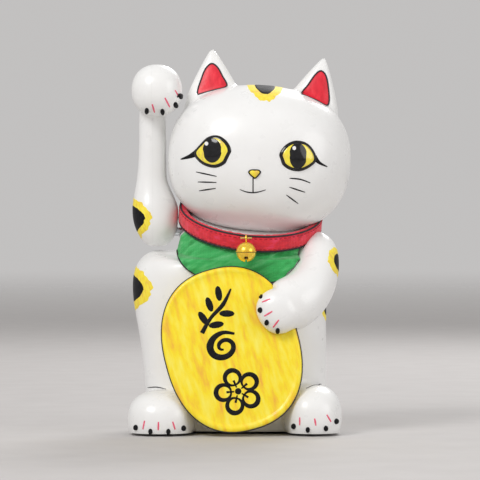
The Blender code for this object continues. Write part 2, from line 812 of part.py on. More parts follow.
def make_lever():
    half = 1.5
    lever = box(
        "pendulum_lever", (LEVER_X - half, -3.5, MAGNET_TOP + GAP), (LEVER_X + half, 3.5, PIVOT.z),
        "white_inner_plastic")
    hub = cylinder(
        "lever_hub", (LEVER_X - 4.0, 0, PIVOT.z), (LEVER_X + 4.0, 0, PIVOT.z), 4.0, segments=16)
    shoe = box(
        "lever_shoe", (LEVER_X - 5.0, -5.0, MAGNET_TOP + GAP), (LEVER_X + 5.0, 5.0, MAGNET_TOP + 2.3))
    arm_to_weight = box(
        "lever_tab", (LEVER_X - half, WEIGHT_CENTRE.y - 5.0, WEIGHT_CENTRE.z - 4.0),
        (LEVER_X + half, WEIGHT_CENTRE.y + 5.0, WEIGHT_CENTRE.z + 4.0))
    bore = cylinder(
        "lever_bore", (LEVER_X - 8, 0, PIVOT.z), (LEVER_X + 8, 0, PIVOT.z), SHAFT_RADIUS + GAP,
        segments=16)
    y, z = WEIGHT_CENTRE.y, WEIGHT_CENTRE.z
    screw_hole = cylinder("lever_screw_hole", (LEVER_X - 4, y, z), (LEVER_X + 4, y, z), 1.6, segments=12)
    join(lever, hub, shoe, arm_to_weight)
    cut(lever, bore, screw_hole)
    set_arm_origin(lever)
    right = WEIGHT_CENTRE.x + WEIGHT_THICKNESS / 2
    left = WEIGHT_CENTRE.x - WEIGHT_THICKNESS / 2
    weight = cylinder("counterweight", (left, y, z), (right, y, z), WEIGHT_RADIUS, "steel", segments=20)
    cut(weight, cylinder("weight_hole", (left - 1, y, z), (right + 1, y, z), 1.6, segments=12))
    set_arm_origin(weight)
    head_left = LEVER_X - half - GAP
    shank_left = head_left - 0.4
    screw = cylinder("counterweight_screw", (shank_left, y, z), (right - 0.6, y, z), 1.3, "steel", 12)
    join(screw, cylinder("weight_screw_head", (head_left - 1.6, y, z), (head_left, y, z), 2.6, segments=12))
    set_arm_origin(screw)
    magnet = cylinder(
        "pendulum_magnet", (LEVER_X, 0, MAGNET_BOTTOM), (LEVER_X, 0, MAGNET_TOP), 4.5, "steel", 20)
    set_arm_origin(magnet)


# ---------------------------------------------------------------- mechanism

def make_frame():
    frame = box(
        "mechanism_frame", (-26.5, -13.0, FRAME_FLOOR), (2.0, 13.0, FRAME_FLOOR + 1.8),
        "white_inner_plastic")
    join(frame, box("frame_foot", (-26.5, -9.0, BASE_TOP + GAP), (-20.0, 9.0, FRAME_FLOOR + 1.0)))
    for name, x in (("left", UPRIGHT_LEFT), ("right", UPRIGHT_RIGHT)):
        half = UPRIGHT_HALF_WIDTH
        far = x + UPRIGHT_THICKNESS
        upright = box(f"upright_{name}", (x, -half, FRAME_FLOOR + 0.5), (far, half, PIVOT.z))
        head = cylinder(f"upright_head_{name}", (x, 0, PIVOT.z), (far, 0, PIVOT.z), half)
        join(frame, upright, head)
        bush_hole = cylinder(
            f"bush_hole_{name}", (x - 2, 0, PIVOT.z), (x + UPRIGHT_THICKNESS + 2, 0, PIVOT.z),
            BUSH_RADIUS + GAP, segments=16)
        cut(frame, bush_hole)
    for number, y in enumerate((-10.5, 10.5)):
        cut(frame, cylinder(f"frame_hole_{number}", (LEVER_X, y, 18), (LEVER_X, y, 26), 1.6, segments=12))
    make_bushes()


def make_bushes():
    for name, x in (("left", UPRIGHT_LEFT), ("right", UPRIGHT_RIGHT)):
        bush = cylinder(
            f"shaft_bush_{name}", (x - 0.6, 0, PIVOT.z), (x + UPRIGHT_THICKNESS + 0.4, 0, PIVOT.z),
            BUSH_RADIUS, "brass", segments=16)
        bore = cylinder(
            f"bush_bore_{name}", (x - 3, 0, PIVOT.z), (x + 5, 0, PIVOT.z), SHAFT_RADIUS + GAP,
            segments=16)
        cut(bush, bore)


def pan_screw(name, base, length, head_radius, head_height, shank_radius):
    """Screw whose head is at the bottom and whose shank points up."""
    top = Vector(base) + Vector((0, 0, head_height))
    screw = cylinder(name, base, top, head_radius, "steel", segments=14)
    join(screw, cylinder(
        name + "_shank", top - Vector((0, 0, 0.3)), top + Vector((0, 0, length)), shank_radius,
        segments=10))


def make_coil():
    bottom, top = COIL_BOTTOM, COIL_TOP
    profile = (
        (COIL_RADIUS, top), (COIL_RADIUS, top - 1.2), (3.4, top - 1.2), (3.4, bottom + 1.2),
        (COIL_RADIUS, bottom + 1.2), (COIL_RADIUS, bottom), (1.8, bottom), (1.8, top),
    )
    spot = Matrix.Translation((LEVER_X, 0, 0))
    turned("coil_bobbin", profile, "black_plastic", spot, steps=20, closed=True)
    winding = (
        (COIL_RADIUS - 0.5, top - 1.5), (COIL_RADIUS - 0.5, bottom + 1.5), (3.7, bottom + 1.5),
        (3.7, top - 1.5),
    )
    turned("drive_coil", winding, "copper", spot, steps=20, closed=True)


def make_board():
    face = UPRIGHT_RIGHT + UPRIGHT_THICKNESS + GAP
    box("circuit_board", (face, -13.0, 30.0), (face + 1.5, 13.0, 52.0), "board_green")
    chip_face = face + 1.5 + GAP
    box("driver_chip", (chip_face, -6.0, 36.0), (chip_face + 1.8, 2.0, 42.0), "black_plastic")
    cylinder(
        "capacitor", (chip_face, 7.5, 44.0), (chip_face + 9.0, 7.5, 44.0), 3.0, "cell_wrap", 16)


def make_wires():
    board_x = UPRIGHT_RIGHT + UPRIGHT_THICKNESS + GAP + 1.5 + GAP
    start_z = TRAY_TOP + 0.9
    wire("wire_red", (
        (10.0, -24.0, start_z), (14.0, -20.0, start_z + 2), (12.0, -12.0, 27.0),
        (board_x + 3.0, -9.0, 33.0), (board_x + 0.7, -9.0, 38.0)), 0.6, "red_plastic")
    wire("wire_black", (
        (6.5, 28.0, start_z), (12.0, 22.0, start_z + 2), (11.0, 12.0, 27.0),
        (board_x + 3.0, 9.5, 32.0), (board_x + 0.7, 9.5, 37.0)), 0.6, "black_plastic")
    wire("wire_switch", (
        (SWITCH_X, SWITCH_Y + 3, 13.6), (SWITCH_X - 4, SWITCH_Y + 3, 18.0), (16.0, 3.0, 27.0),
        (board_x + 4.0, 1.0, 32.0), (board_x + 0.7, 0.0, 33.0)), 0.6, "red_plastic")


# ---------------------------------------------------------------- base, battery, switch

def base_outline(inset, height):
    left, right, front, back = BODY_SECTIONS[0][1:5]
    flat = outline(
        right - NECK_CENTRE.x - inset, NECK_CENTRE.x - left - inset, -front - inset, back - inset,
        ROUNDNESS, BODY_SEGMENTS)
    return [Vector((point.x + NECK_CENTRE.x, point.y, height)) for point in flat]


def make_base():
    edge = WALL + GAP
    base = loft(
        "base_plate", (base_outline(edge, SHELL_BOTTOM), base_outline(edge, BASE_TOP)),
        "white_inner_plastic")
    tray = box(
        "tray_block", (-TRAY_HALF_WIDTH, TRAY_FRONT + 4.6, 2.0), (TRAY_HALF_WIDTH, TRAY_BACK - 1.8, TRAY_TOP))
    hollow = box(
        "tray_hollow", (1.8 - TRAY_HALF_WIDTH, TRAY_FRONT + 6.2, 0.0),
        (TRAY_HALF_WIDTH - 1.8, TRAY_BACK - 3.4, TRAY_TOP - 1.4))
    join(base, tray)
    cut(base, hollow, DOOR_CHANNEL)
    for number, (x, y) in enumerate(BASE_SCREWS, start=1):
        cut(
            base,
            cylinder(f"base_counterbore_{number}", (x, y, 0), (x, y, 3.2), 2.9, segments=14),
            cylinder(f"base_screw_hole_{number}", (x, y, 0), (x, y, 6), 1.7, segments=12))
        pan_screw(f"base_screw_{number}", (x, y, 1.4), 8.4, 2.5, 1.5, 1.3)
    travel = SWITCH_TRAVEL
    slot = box(
        "switch_slot", (SWITCH_X - 2.0, SWITCH_Y - 1.7, 0.0),
        (SWITCH_X + 2.0 + travel, SWITCH_Y + 1.7, 6.0))
    cut(base, slot)
    for number, y in enumerate((-10.5, 10.5), start=1):
        cut(base, cylinder(f"tray_hole_{number}", (LEVER_X, y, 18), (LEVER_X, y, 22), 1.6, segments=12))
        top = FRAME_FLOOR + 1.8 + GAP
        screw = cylinder(f"frame_screw_{number}", (LEVER_X, y, 19.6), (LEVER_X, y, top + 0.4), 1.2, "steel", 10)
        join(screw, cylinder(f"frame_screw_head_{number}", (LEVER_X, y, top), (LEVER_X, y, top + 1.4), 2.2, segments=12))
    for (x, y), corner in zip(FOOT_PADS, ("rear_left", "rear_right", "front_left", "front_right")):
        cylinder(
            f"rubber_foot_{corner}", (x, y, 0.0), (x, y, SHELL_BOTTOM - 0.1), FOOT_PAD_RADIUS,
            "rubber", segments=16)


def make_door():
    door = box(
        "battery_door", (-DOOR_HALF_WIDTH, DOOR_FRONT, 1.3), (DOOR_HALF_WIDTH, DOOR_BACK, 3.3),
        "white_inner_plastic")
    flange = box(
        "door_flange", (-DOOR_FLANGE_HALF_WIDTH, DOOR_FRONT, 2.4),
        (DOOR_FLANGE_HALF_WIDTH, 30.0, 3.3))
    join(door, flange)
    for number in range(4):
        y = 26.0 + 2.2 * number
        cut(door, box(f"door_grip_{number}", (-8.0, y, 0.0), (8.0, y + 1.0, 1.8)))


def make_cells():
    middle = (TRAY_FRONT + TRAY_BACK) / 2 + 1.4
    low_y = middle - CELL_LENGTH / 2
    high_y = middle + CELL_LENGTH / 2
    for number, (x, flip) in enumerate(((-CELL_X, 1), (CELL_X, -1)), start=1):
        nub_y = high_y if flip > 0 else low_y
        body_low = low_y + (0.0 if flip > 0 else 1.2)
        body_high = high_y - (1.2 if flip > 0 else 0.0)
        cell = cylinder(
            f"battery_{number}", (x, body_low, CELL_Z), (x, body_high, CELL_Z), CELL_RADIUS,
            "cell_wrap", segments=18)
        inner = nub_y - flip * 2.0
        join(cell, cylinder(f"battery_nub_{number}", (x, inner, CELL_Z), (x, nub_y, CELL_Z), 2.7, segments=14))
    box("contact_plate", (-13.0, high_y + GAP, 5.0), (13.0, high_y + 0.8, 17.5), "steel")
    for number, x in enumerate((-CELL_X, CELL_X), start=1):
        plate_low = low_y - 0.9
        box(f"battery_contact_{number}", (x - 5.0, plate_low, 5.5), (x + 5.0, low_y - GAP, 17.0), "steel")


def make_switch():
    travel = SWITCH_TRAVEL
    low = (SWITCH_X - 4.2, SWITCH_Y - 3.4, BASE_TOP + GAP)
    high = (SWITCH_X + 4.2 + travel, SWITCH_Y + 3.4, 12.4)
    body = box("switch_body", low, high, "black_plastic")
    cavity = box(
        "switch_cavity", (SWITCH_X - 2.2, SWITCH_Y - 1.9, 4.0),
        (SWITCH_X + 2.2 + travel, SWITCH_Y + 1.9, 8.6))
    cut(body, cavity)
    knob = box(
        "switch_knob", (SWITCH_X - 1.5, SWITCH_Y - 1.3, 0.4), (SWITCH_X + 1.5, SWITCH_Y + 1.3, 8.0),
        "red_plastic")
    set_origin(knob, (SWITCH_X, SWITCH_Y, SHELL_BOTTOM))


# ---------------------------------------------------------------- bell

def arc(radius, start, end, steps):
    """Points of a circle's arc as (radius, height), angles in degrees from the +Z pole."""
    points = []
    for step in range(steps + 1):
        angle = math.radians(start + (end - start) * step / steps)
        points.append((radius * math.sin(angle), radius * math.cos(angle)))
    return points


def make_bell():
    pivot = Vector((BELL_CENTRE.x, BELL_CENTRE.y, BELL_PIVOT_Z))
    centre = Matrix.Translation(BELL_CENTRE)
    outer_top = arc(BELL_RADIUS, 0, 88, 4)
    inner_top = list(reversed(arc(BELL_RADIUS - BELL_WALL, 0, 88, 4)))
    upper = turned("bell_upper_half", outer_top + inner_top, "brass", centre, steps=14)
    outer_low = arc(BELL_RADIUS, 92, 180, 4)
    inner_low = list(reversed(arc(BELL_RADIUS - BELL_WALL, 92, 180, 4)))
    lower = turned("bell_lower_half", inner_low + outer_low, "brass", centre, steps=14)
    x, y, z = BELL_CENTRE
    mouth = box("bell_mouth", (x - 0.45, y - 3.6, z - 8), (x + 0.45, y + 3.6, z - 2.6))
    cut(lower, mouth)
    eye_z = BELL_PIVOT_Z - 0.35
    sideways = Matrix.Rotation(math.radians(90), 4, "Y")
    eye_profile = [(1.5 + 0.4 * math.cos(turn), 0.4 * math.sin(turn)) for turn in eye_angles()]
    eye = turned(
        "bell_eye", eye_profile, None, Matrix.Translation((x, y, eye_z)) @ sideways, 12, closed=True)
    join(upper, eye)
    pellet = superellipsoid(
        "bell_pellet", BELL_CENTRE - Vector((0, 0, 2.3)), Vector((1.5, 1.5, 1.5)), 2.0, "steel",
        segments=10, rings=7)
    for thing in (upper, lower, pellet):
        shift = (thing.matrix_world.inverted() @ Matrix.Translation(pivot * MM))
        thing.data.transform(shift.inverted())
        thing.matrix_world = Matrix.Translation(pivot * MM)
    make_staple()


def eye_angles():
    return [-2 * math.pi * step / 6 for step in range(6)]


def make_staple():
    """Bent wire stuck into the front of the collar, with a level bar for the bell."""
    x, y = BELL_CENTRE.x, BELL_CENTRE.y
    z = BELL_PIVOT_Z
    back = y + 4.4
    wire("bell_staple", (
        (x - STAPLE_HALF_WIDTH, back, z), (x - STAPLE_HALF_WIDTH, y, z),
        (x + STAPLE_HALF_WIDTH, y, z), (x + STAPLE_HALF_WIDTH, back, z)), STAPLE_WIRE, "brass")


make_body()
make_head()
make_neck()
make_collar()
make_coin()
make_holding_arm()
make_bib()
make_waving_arm()
make_frame()
make_coil()
make_board()
make_wires()
make_base()
make_door()
make_cells()
make_switch()
make_bell()
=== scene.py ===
"""Looks of the beckoning cat figurine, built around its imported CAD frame.

Shapes are worked out in millimetres in the frame's own axes and become metres once, in piece().
The cat faces -Y, +Z is up and +X is on the viewer's right.
"""
import math

import bmesh
import bpy
from mathutils import Matrix, Vector
from mathutils.bvhtree import BVHTree


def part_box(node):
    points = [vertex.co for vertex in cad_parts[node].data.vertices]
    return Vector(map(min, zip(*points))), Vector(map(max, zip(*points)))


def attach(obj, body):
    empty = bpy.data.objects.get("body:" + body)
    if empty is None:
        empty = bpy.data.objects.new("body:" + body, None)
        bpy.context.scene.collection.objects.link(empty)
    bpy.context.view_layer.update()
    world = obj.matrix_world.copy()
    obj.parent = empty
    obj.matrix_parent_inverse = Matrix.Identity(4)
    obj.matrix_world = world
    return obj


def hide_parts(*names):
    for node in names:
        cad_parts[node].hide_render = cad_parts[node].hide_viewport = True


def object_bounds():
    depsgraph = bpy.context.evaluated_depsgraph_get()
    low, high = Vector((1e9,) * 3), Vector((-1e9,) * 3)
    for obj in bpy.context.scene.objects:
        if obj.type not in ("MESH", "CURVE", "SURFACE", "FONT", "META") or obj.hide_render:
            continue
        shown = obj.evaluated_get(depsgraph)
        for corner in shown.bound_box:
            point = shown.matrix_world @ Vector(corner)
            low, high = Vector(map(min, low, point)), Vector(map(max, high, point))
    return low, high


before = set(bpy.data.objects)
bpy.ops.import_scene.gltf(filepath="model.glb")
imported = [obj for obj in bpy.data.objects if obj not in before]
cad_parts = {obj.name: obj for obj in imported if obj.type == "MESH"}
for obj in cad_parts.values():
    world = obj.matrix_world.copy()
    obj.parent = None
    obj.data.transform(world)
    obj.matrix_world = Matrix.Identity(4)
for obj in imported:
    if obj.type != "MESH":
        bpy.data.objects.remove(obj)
CAD_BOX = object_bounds()
MM = 0.001


def low(node):
    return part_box(node)[0] / MM


def high(node):
    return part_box(node)[1] / MM


def middle(node):
    return (low(node) + high(node)) / 2


# Places that the frame gives
PIVOT = middle("arm_shaft")
NECK_CENTRE = middle("collar")
COIN_CENTRE = middle("koban_coin")
NOSE = middle("nose")
EYES = {"left": middle("eye_left"), "right": middle("eye_right")}
BELL_CENTRE = middle("bell_upper_half")
BELL_CENTRE.z = (high("bell_lower_half").z + low("bell_upper_half").z) / 2
HEAD_SEAM = (high("head_front_shell").y + low("head_rear_shell").y) / 2
ARM_SEAM = (high("arm_outer_shell").x + low("arm_inner_shell").x) / 2
SHELL_BOTTOM = low("body_front_shell").z
CAT_MIDDLE = (CAD_BOX[0] + CAD_BOX[1]) / 2
FRONTWARD = Vector((0.0, -1.0, 0.0))
BACKWARD = Vector((0.0, 1.0, 0.0))
UPWARD = Vector((0.0, 0.0, 1.0))
# Further out than any point of the figurine
REACH = 200.0
CORD_SIDES = 8

# Shells
WALL = 2.2
ALL_ROUND_WALL = Vector((WALL, WALL, WALL))
SEAM_GAP = 0.06
ARM_SEAM_GAP = 0.012
BODY_VOXEL = 1.0
HEAD_VOXEL = 0.9
ARM_VOXEL = 0.7
# Rounds of smoothing that turn the overlaps of merged solids into fillets
BODY_SMOOTHING = 5
HEAD_SMOOTHING = 5
RAISED_ARM_SMOOTHING = 4
HOLDING_ARM_SMOOTHING = 6
BODY_POINTS = 84
BODY_ROUNDNESS = 2.6
FOOT_ROUNDNESS = 2.4
PAW_ROUNDNESS = 2.2
TAIL_ROUNDNESS = 2.2
EAR_ROUNDNESS = 2.8
ARM_ROUNDNESS = 2.3
SHOULDER_HEIGHT = 80.0
NECK_TILT = 21.0
NECK_ROLL = 5.0
NECK_RADIUS = 29.6
SKIRT_BORE = 26.5
SKIRT_TOP = 6.5
COLLAR_RADIUS = 33.7
COLLAR_THICKNESS = 3.5
COLLAR_HALF_HEIGHT = 4.0
COLLAR_GAP = 0.3
HEAD_BOTTOM = 0.3
COUPLER_OFFSET = Vector((6.5, 6.0, 0.0))
COUPLER_RADIUS = 10.3
SHAFT_HOLE_RADIUS = 3.0
SHAFT_BORE_RADIUS = 2.3
SHAFT_BOSS_RADIUS = 4.4
DOOR_ROOM_CORNERS = ((-18.5, -26.0, -5.0), (18.5, 60.0, 3.6))

# Body outline from the floor up: height, left, right, front, back, and how far the front drops
BODY_SECTIONS = (
    (0.5, -42.0, 38.0, -27.0, 36.5, 0.0),
    (6.0, -44.0, 39.6, -28.6, 39.5, 0.0),
    (20.0, -44.9, 40.6, -29.0, 42.0, 0.0),
    (40.0, -46.8, 40.6, -29.0, 42.0, 0.0),
    (60.0, -50.0, 40.3, -28.5, 38.5, 0.0),
    (72.0, -50.4, 39.7, -28.0, 35.5, 2.0),
    (79.0, -48.6, 39.2, -27.8, 33.5, 4.0),
    (83.3, -44.6, 38.6, -27.7, 32.5, 5.0),
    (85.2, -40.0, 38.2, -27.7, 32.0, 6.0),
    (85.5, -28.6, 37.6, -27.7, 31.8, 6.2),
)
# Shoulder rings in the neck's plane: distance below it, then half left, right, front, back
NECK_SECTIONS = (
    (9.0, 33.1, 31.0, 31.5, 31.0),
    (5.5, NECK_RADIUS, NECK_RADIUS, NECK_RADIUS, NECK_RADIUS),
    (0.0, NECK_RADIUS, NECK_RADIUS, NECK_RADIUS, NECK_RADIUS),
)
FEET = (
    (Vector((-36.6, -27.0, 7.0)), Vector((15.7, 18.6, 13.5))),
    (Vector((33.7, -27.0, 8.5)), Vector((13.4, 18.6, 14.5))),
)
TAIL_CENTRE = Vector((8.0, 39.5, 20.0))
TAIL_HALF_SIZE = Vector((9.0, 6.3, 9.0))

# Head and ears
HEAD_CENTRE = Vector((9.0, -4.0, 128.0))
HEAD_HALF_SIZE = Vector((43.0, 36.0, 34.8))
HEAD_ROUNDNESS = 2.35
HEAD_ROLL = 4.0
EARS = {
    "left": (Vector((-12.2, HEAD_SEAM, 152.0)), Vector((-13.2, HEAD_SEAM + 0.5, 180.0)), 14.4),
    "right": (Vector((32.4, HEAD_SEAM, 147.0)), Vector((39.6, HEAD_SEAM + 0.5, 175.8)), 14.2),
}
EAR_HALF_DEPTH = 8.0
# Along the ear from base to tip: share of its length, width and depth
EAR_STEPS = (
    (0.0, 1.0, 1.0), (0.25, 0.86, 0.86), (0.5, 0.63, 0.68), (0.75, 0.36, 0.46), (0.92, 0.16, 0.26),
    (1.0, 0.05, 0.1),
)

# Raised arm: height, outer edge, inner edge, front, back
ARM_SECTIONS = (
    (87.0, -42.0, -36.0, -3.5, 3.5),
    (88.3, -44.8, -33.8, -6.6, 6.6),
    (91.5, -47.2, -31.2, -9.8, 9.8),
    (95.5, -49.2, -29.7, -11.6, 11.6),
    (100.0, -50.4, -29.4, -12.2, 12.2),
    (106.0, -50.7, -29.5, -11.6, 11.4),
    (112.0, -50.0, -31.9, -10.0, 9.6),
    (118.0, -49.0, -34.4, -9.0, 8.4),
    (126.0, -48.2, -34.9, -8.6, 7.6),
    (137.0, -47.8, -34.9, -8.8, 7.0),
    (147.0, -47.8, -34.9, -9.8, 6.2),
    (155.0, -47.2, -34.9, -12.0, 2.6),
)
PAW_CENTRE = Vector((-39.1, -11.5, 160.2))
PAW_HALF_SIZE = Vector((11.9, 12.0, 12.2))

# Holding arm: centre, half width across, half depth
HOLDING_ARM = (
    (Vector((32.4, -4.0, 91.0)), 4.0, 4.0),
    (Vector((33.4, -6.0, 88.8)), 7.4, 7.4),
    (Vector((35.2, -9.5, 85.0)), 9.8, 9.5),
    (Vector((36.0, -16.0, 79.0)), 10.0, 10.0),
    (Vector((33.8, -23.5, 71.0)), 11.0, 10.5),
    (Vector((29.5, -29.8, 65.0)), 12.0, 10.3),
    (Vector((23.5, -34.4, 60.8)), 12.6, 9.6),
    (Vector((19.0, -36.4, 59.2)), 11.6, 7.6),
)
HOLDING_PAW_CENTRE = Vector((17.6, -38.2, 57.6))
HOLDING_PAW_HALF_SIZE = Vector((9.8, 7.2, 10.6))
HOLDING_PAW_TURN = -32.0

# Coin
COIN_HALF_LENGTH = 38.4
COIN_HALF_WIDTH = 31.2
COIN_ROUNDNESS = 2.35
COIN_THICKNESS = 4.0
COIN_TILT = -15.0
COIN_LEAN = -9.0
COIN_POINTS = 128
COIN_GAP = 0.35
COIN_POCKET_DEPTH = 14.0
COIN_SLOT_DEPTH = 0.3
# The flat field lies a little behind the rim
COIN_FIELD = 0.55
# Across the coin's thickness from back to front: distance behind the front face, inset
COIN_LEVELS = (
    (COIN_THICKNESS, 2.0), (COIN_THICKNESS - 0.15, 1.1), (COIN_THICKNESS - 0.7, 0.35),
    (COIN_THICKNESS - 1.3, 0.1), (2.0, 0.0), (1.2, 0.1), (0.6, 0.35), (0.15, 0.9), (0.0, 1.6),
    (0.08, 2.4), (0.4, 3.0), (COIN_FIELD, 3.6), (COIN_FIELD, 6.0),
)
COIN_LINE_DEPTH = 1.1
COIN_LINE_INSET = 0.3
COIN_LINE_RADIUS = 0.5

# Bell
BELL_RADIUS = 4.6
BELL_WALL = 0.5
BELL_SLOT_HALF_WIDTH = 0.45
BELL_SLOT_REACH = 3.6
BELL_SLOT_TOP = 2.6
BELL_EYE_RADIUS = 1.5
BELL_EYE_DROP = 1.85
BELL_EYE_THICKNESS = 0.4
BELL_GROOVE_THICKNESS = 0.16
BELL_HOLE_RADIUS = 0.95
BELL_HOLE_OFFSET = 3.4
# Closed (radius, height) profile of the raised band above the bell's seam
BELL_BAND = (
    (BELL_RADIUS + 0.02, 0.5), (BELL_RADIUS + 0.3, 0.35), (BELL_RADIUS + 0.3, 0.12),
    (BELL_RADIUS - 0.3, 0.12), (BELL_RADIUS - 0.3, 0.5),
)

# Collar and bib
PIPING_RADIUS = 0.42
PIPING_INSET = 0.35
PIPING_POINTS = 120
STITCHES_PER_ROUND = 88
STITCH_ANGLE = 2.4
STITCH_FROM_EDGE = 1.35
STITCH_HALF_WIDTH = 0.2
# Along a stitch: share of its length, height above the cloth, share of its width
STITCH_RISE = ((0.0, -0.1, 0.5), (0.2, 0.16, 1.0), (0.8, 0.16, 1.0), (1.0, -0.1, 0.5))
STITCH_SECTION = ((-1.0, 0.0), (-0.5, 0.12), (0.5, 0.12), (1.0, 0.0), (0.0, -0.15))
BIB_CENTRE_X = 3.2
BIB_CENTRE_Z = 88.0
BIB_HALF_WIDTH = 33.5
BIB_DROP = 18.5
BIB_ROUNDNESS = 2.4
BIB_EDGE_POINTS = 90
HEM_INSET = 0.5
HEM_RADIUS = 0.36
HEM_LARGEST_STEP = 4.0
# Cloth is simulated at a scale where Blender's settings behave like a small cushion
SIM_SCALE = 0.1
SIM_FRAMES = 14
CLOTH = {
    "quality": 4, "mass": 0.05, "tension_stiffness": 12.0, "compression_stiffness": 12.0,
    "bending_stiffness": 0.05, "use_pressure": True, "uniform_pressure_force": 3.0,
}

# Floor, light and camera, in metres
FLOOR_RADIUS = 6.0
FLOOR_FADE_START = 0.5
FLOOR_FADE_END = 5.0
FLOOR_DARK = (0.53, 0.51, 0.5)
FLOOR_PALE = (0.56, 0.54, 0.53)
BACKGROUND = (0.54, 0.53, 0.525)
# Place, diameter and power of each lamp
LAMPS = {
    "key": ((-0.55, -0.8, 0.85), 0.5, 7.0),
    "fill": ((0.9, -0.6, 0.4), 0.7, 2.5),
    "rim": ((0.3, 0.9, 0.8), 0.5, 5.0),
}
CAMERA_DISTANCE = 1.5
CAMERA_HEIGHT = 0.1
LENS = 238.0


# ---------------------------------------------------------------- meshes in millimetres

def mesh_from(bm):
    mesh = bpy.data.meshes.new("work")
    bm.to_mesh(mesh)
    bm.free()
    return mesh


def after(mesh, kind, **settings):
    """The mesh once one modifier has been applied to it."""
    thing = bpy.data.objects.new("work", mesh)
    bpy.context.scene.collection.objects.link(thing)
    modifier = thing.modifiers.new(kind, kind)
    for key, value in settings.items():
        setattr(modifier, key, value)
    graph = bpy.context.evaluated_depsgraph_get()
    result = bpy.data.meshes.new_from_object(thing.evaluated_get(graph))
    bpy.data.objects.remove(thing)
    return result


def tree_of(mesh):
    points = [vert.co.copy() for vert in mesh.vertices]
    return BVHTree.FromPolygons(points, [tuple(face.vertices) for face in mesh.polygons])


def boolean(mesh, tools, operation):
    for tool in tools:
        thing = bpy.data.objects.new("tool", tool)
        bpy.context.scene.collection.objects.link(thing)
        mesh = after(mesh, "BOOLEAN", object=thing, operation=operation, solver="MANIFOLD")
        bpy.data.objects.remove(thing)
    return mesh


def cut(mesh, *tools):
    return boolean(mesh, tools, "DIFFERENCE")


def kept(mesh, *tools):
    return boolean(mesh, tools, "INTERSECT")


def together(*meshes):
    """Several meshes in one, without joining their surfaces."""
    bm = bmesh.new()
    for mesh in meshes:
        bm.from_mesh(mesh)
    return mesh_from(bm)


def merged(meshes, voxel, passes):
    """One skin around overlapping solids, with soft fillets where they meet."""
    skin = after(together(*meshes), "REMESH", mode="VOXEL", voxel_size=voxel)
    return after(skin, "SMOOTH", factor=0.5, iterations=passes)


def box(corner, opposite, matrix=Matrix.Identity(4)):
    corner = Vector(corner)
    opposite = Vector(opposite)
    bm = bmesh.new()
    bmesh.ops.create_cube(bm, size=1.0)
    bmesh.ops.scale(bm, vec=opposite - corner, verts=bm.verts)
    bmesh.ops.translate(bm, vec=(corner + opposite) / 2, verts=bm.verts)
    bmesh.ops.transform(bm, matrix=matrix, verts=bm.verts)
    return mesh_from(bm)


def between(axis, start, end, matrix=Matrix.Identity(4)):
    """Box wider than the figurine that spans start to end along one axis."""
    corner = [-REACH, -REACH, -REACH]
    opposite = [REACH, REACH, REACH]
    corner[axis] = start
    opposite[axis] = end
    return box(corner, opposite, matrix)


def around(count):
    """Angles of even steps through one whole turn."""
    return [2 * math.pi * step / count for step in range(count)]


def bar(start, end, radius, segments=48):
    start = Vector(start)
    end = Vector(end)
    turn = (end - start).to_track_quat("Z", "Y").to_matrix().to_4x4()
    bm = bmesh.new()
    bmesh.ops.create_cone(
        bm, cap_ends=True, segments=segments, radius1=radius, radius2=radius,
        depth=(end - start).length, matrix=Matrix.Translation((start + end) / 2) @ turn)
    return mesh_from(bm)


def superellipsoid(centre, half_size, roundness, turn=Matrix.Identity(4), segments=72, rings=44):
    """A ball whose sides bulge towards a box as its roundness grows above 2."""
    bm = bmesh.new()
    bmesh.ops.create_uvsphere(bm, u_segments=segments, v_segments=rings, radius=1.0)
    for vert in bm.verts:
        size = sum(abs(value) ** roundness for value in vert.co) ** (1 / roundness)
        vert.co = Vector(value / size * half for value, half in zip(vert.co, half_size))
    bmesh.ops.transform(bm, matrix=Matrix.Translation(centre) @ turn, verts=bm.verts)
    return mesh_from(bm)


def outline(right, left, front, back, roundness, segments):
    """Closed superellipse around the origin with its own reach in each of four directions."""
    points = []
    for angle in around(segments):
        across = math.cos(angle)
        along = math.sin(angle)
        x = math.copysign(abs(across) ** (2 / roundness), across)
        y = math.copysign(abs(along) ** (2 / roundness), along)
        x *= right if across > 0 else left
        y *= back if along > 0 else front
        points.append(Vector((x, y, 0.0)))
    return points


def flow(before, start, end, after_end, share):
    """Point on a smooth curve from start to end that doesn't overshoot at uneven spacing."""
    first = max((start - before).length, 1e-6) ** 0.5
    span = max((end - start).length, 1e-6) ** 0.5
    last = max((after_end - end).length, 1e-6) ** 0.5
    leave = (start - before) / first - (end - before) / (first + span) + (end - start) / span
    arrive = (end - start) / span - (after_end - start) / (span + last) + (after_end - end) / last
    square = share * share
    cube = square * share
    return (
        start * (2 * cube - 3 * square + 1) + leave * span * (cube - 2 * square + share)
        + end * (3 * square - 2 * cube) + arrive * span * (cube - square))


def flowing(rings, steps):
    """The rings with more of them in between, along a smooth curve through each point."""
    last = len(rings) - 1
    dense = []
    for index in range(last):
        around = (rings[max(index - 1, 0)], rings[index], rings[index + 1], rings[min(index + 2, last)])
        for step in range(steps):
            dense.append([flow(*column, step / steps) for column in zip(*around)])
    dense.append(rings[-1])
    return dense


def loft(rings, closed=False):
    """Solid through a stack of rings, capped at both ends unless the stack closes on itself."""
    bm = bmesh.new()
    rows = [[bm.verts.new(point) for point in ring] for ring in rings]
    count = len(rows[0])
    pairs = list(zip(rows, rows[1:]))
    if closed:
        pairs.append((rows[-1], rows[0]))
    for lower, upper in pairs:
        for index in range(count):
            following = (index + 1) % count
            bm.faces.new((lower[index], lower[following], upper[following], upper[index]))
    if not closed:
        bm.faces.new(list(reversed(rows[0])))
        bm.faces.new(rows[-1])
    bmesh.ops.recalc_face_normals(bm, faces=bm.faces[:])
    return mesh_from(bm)


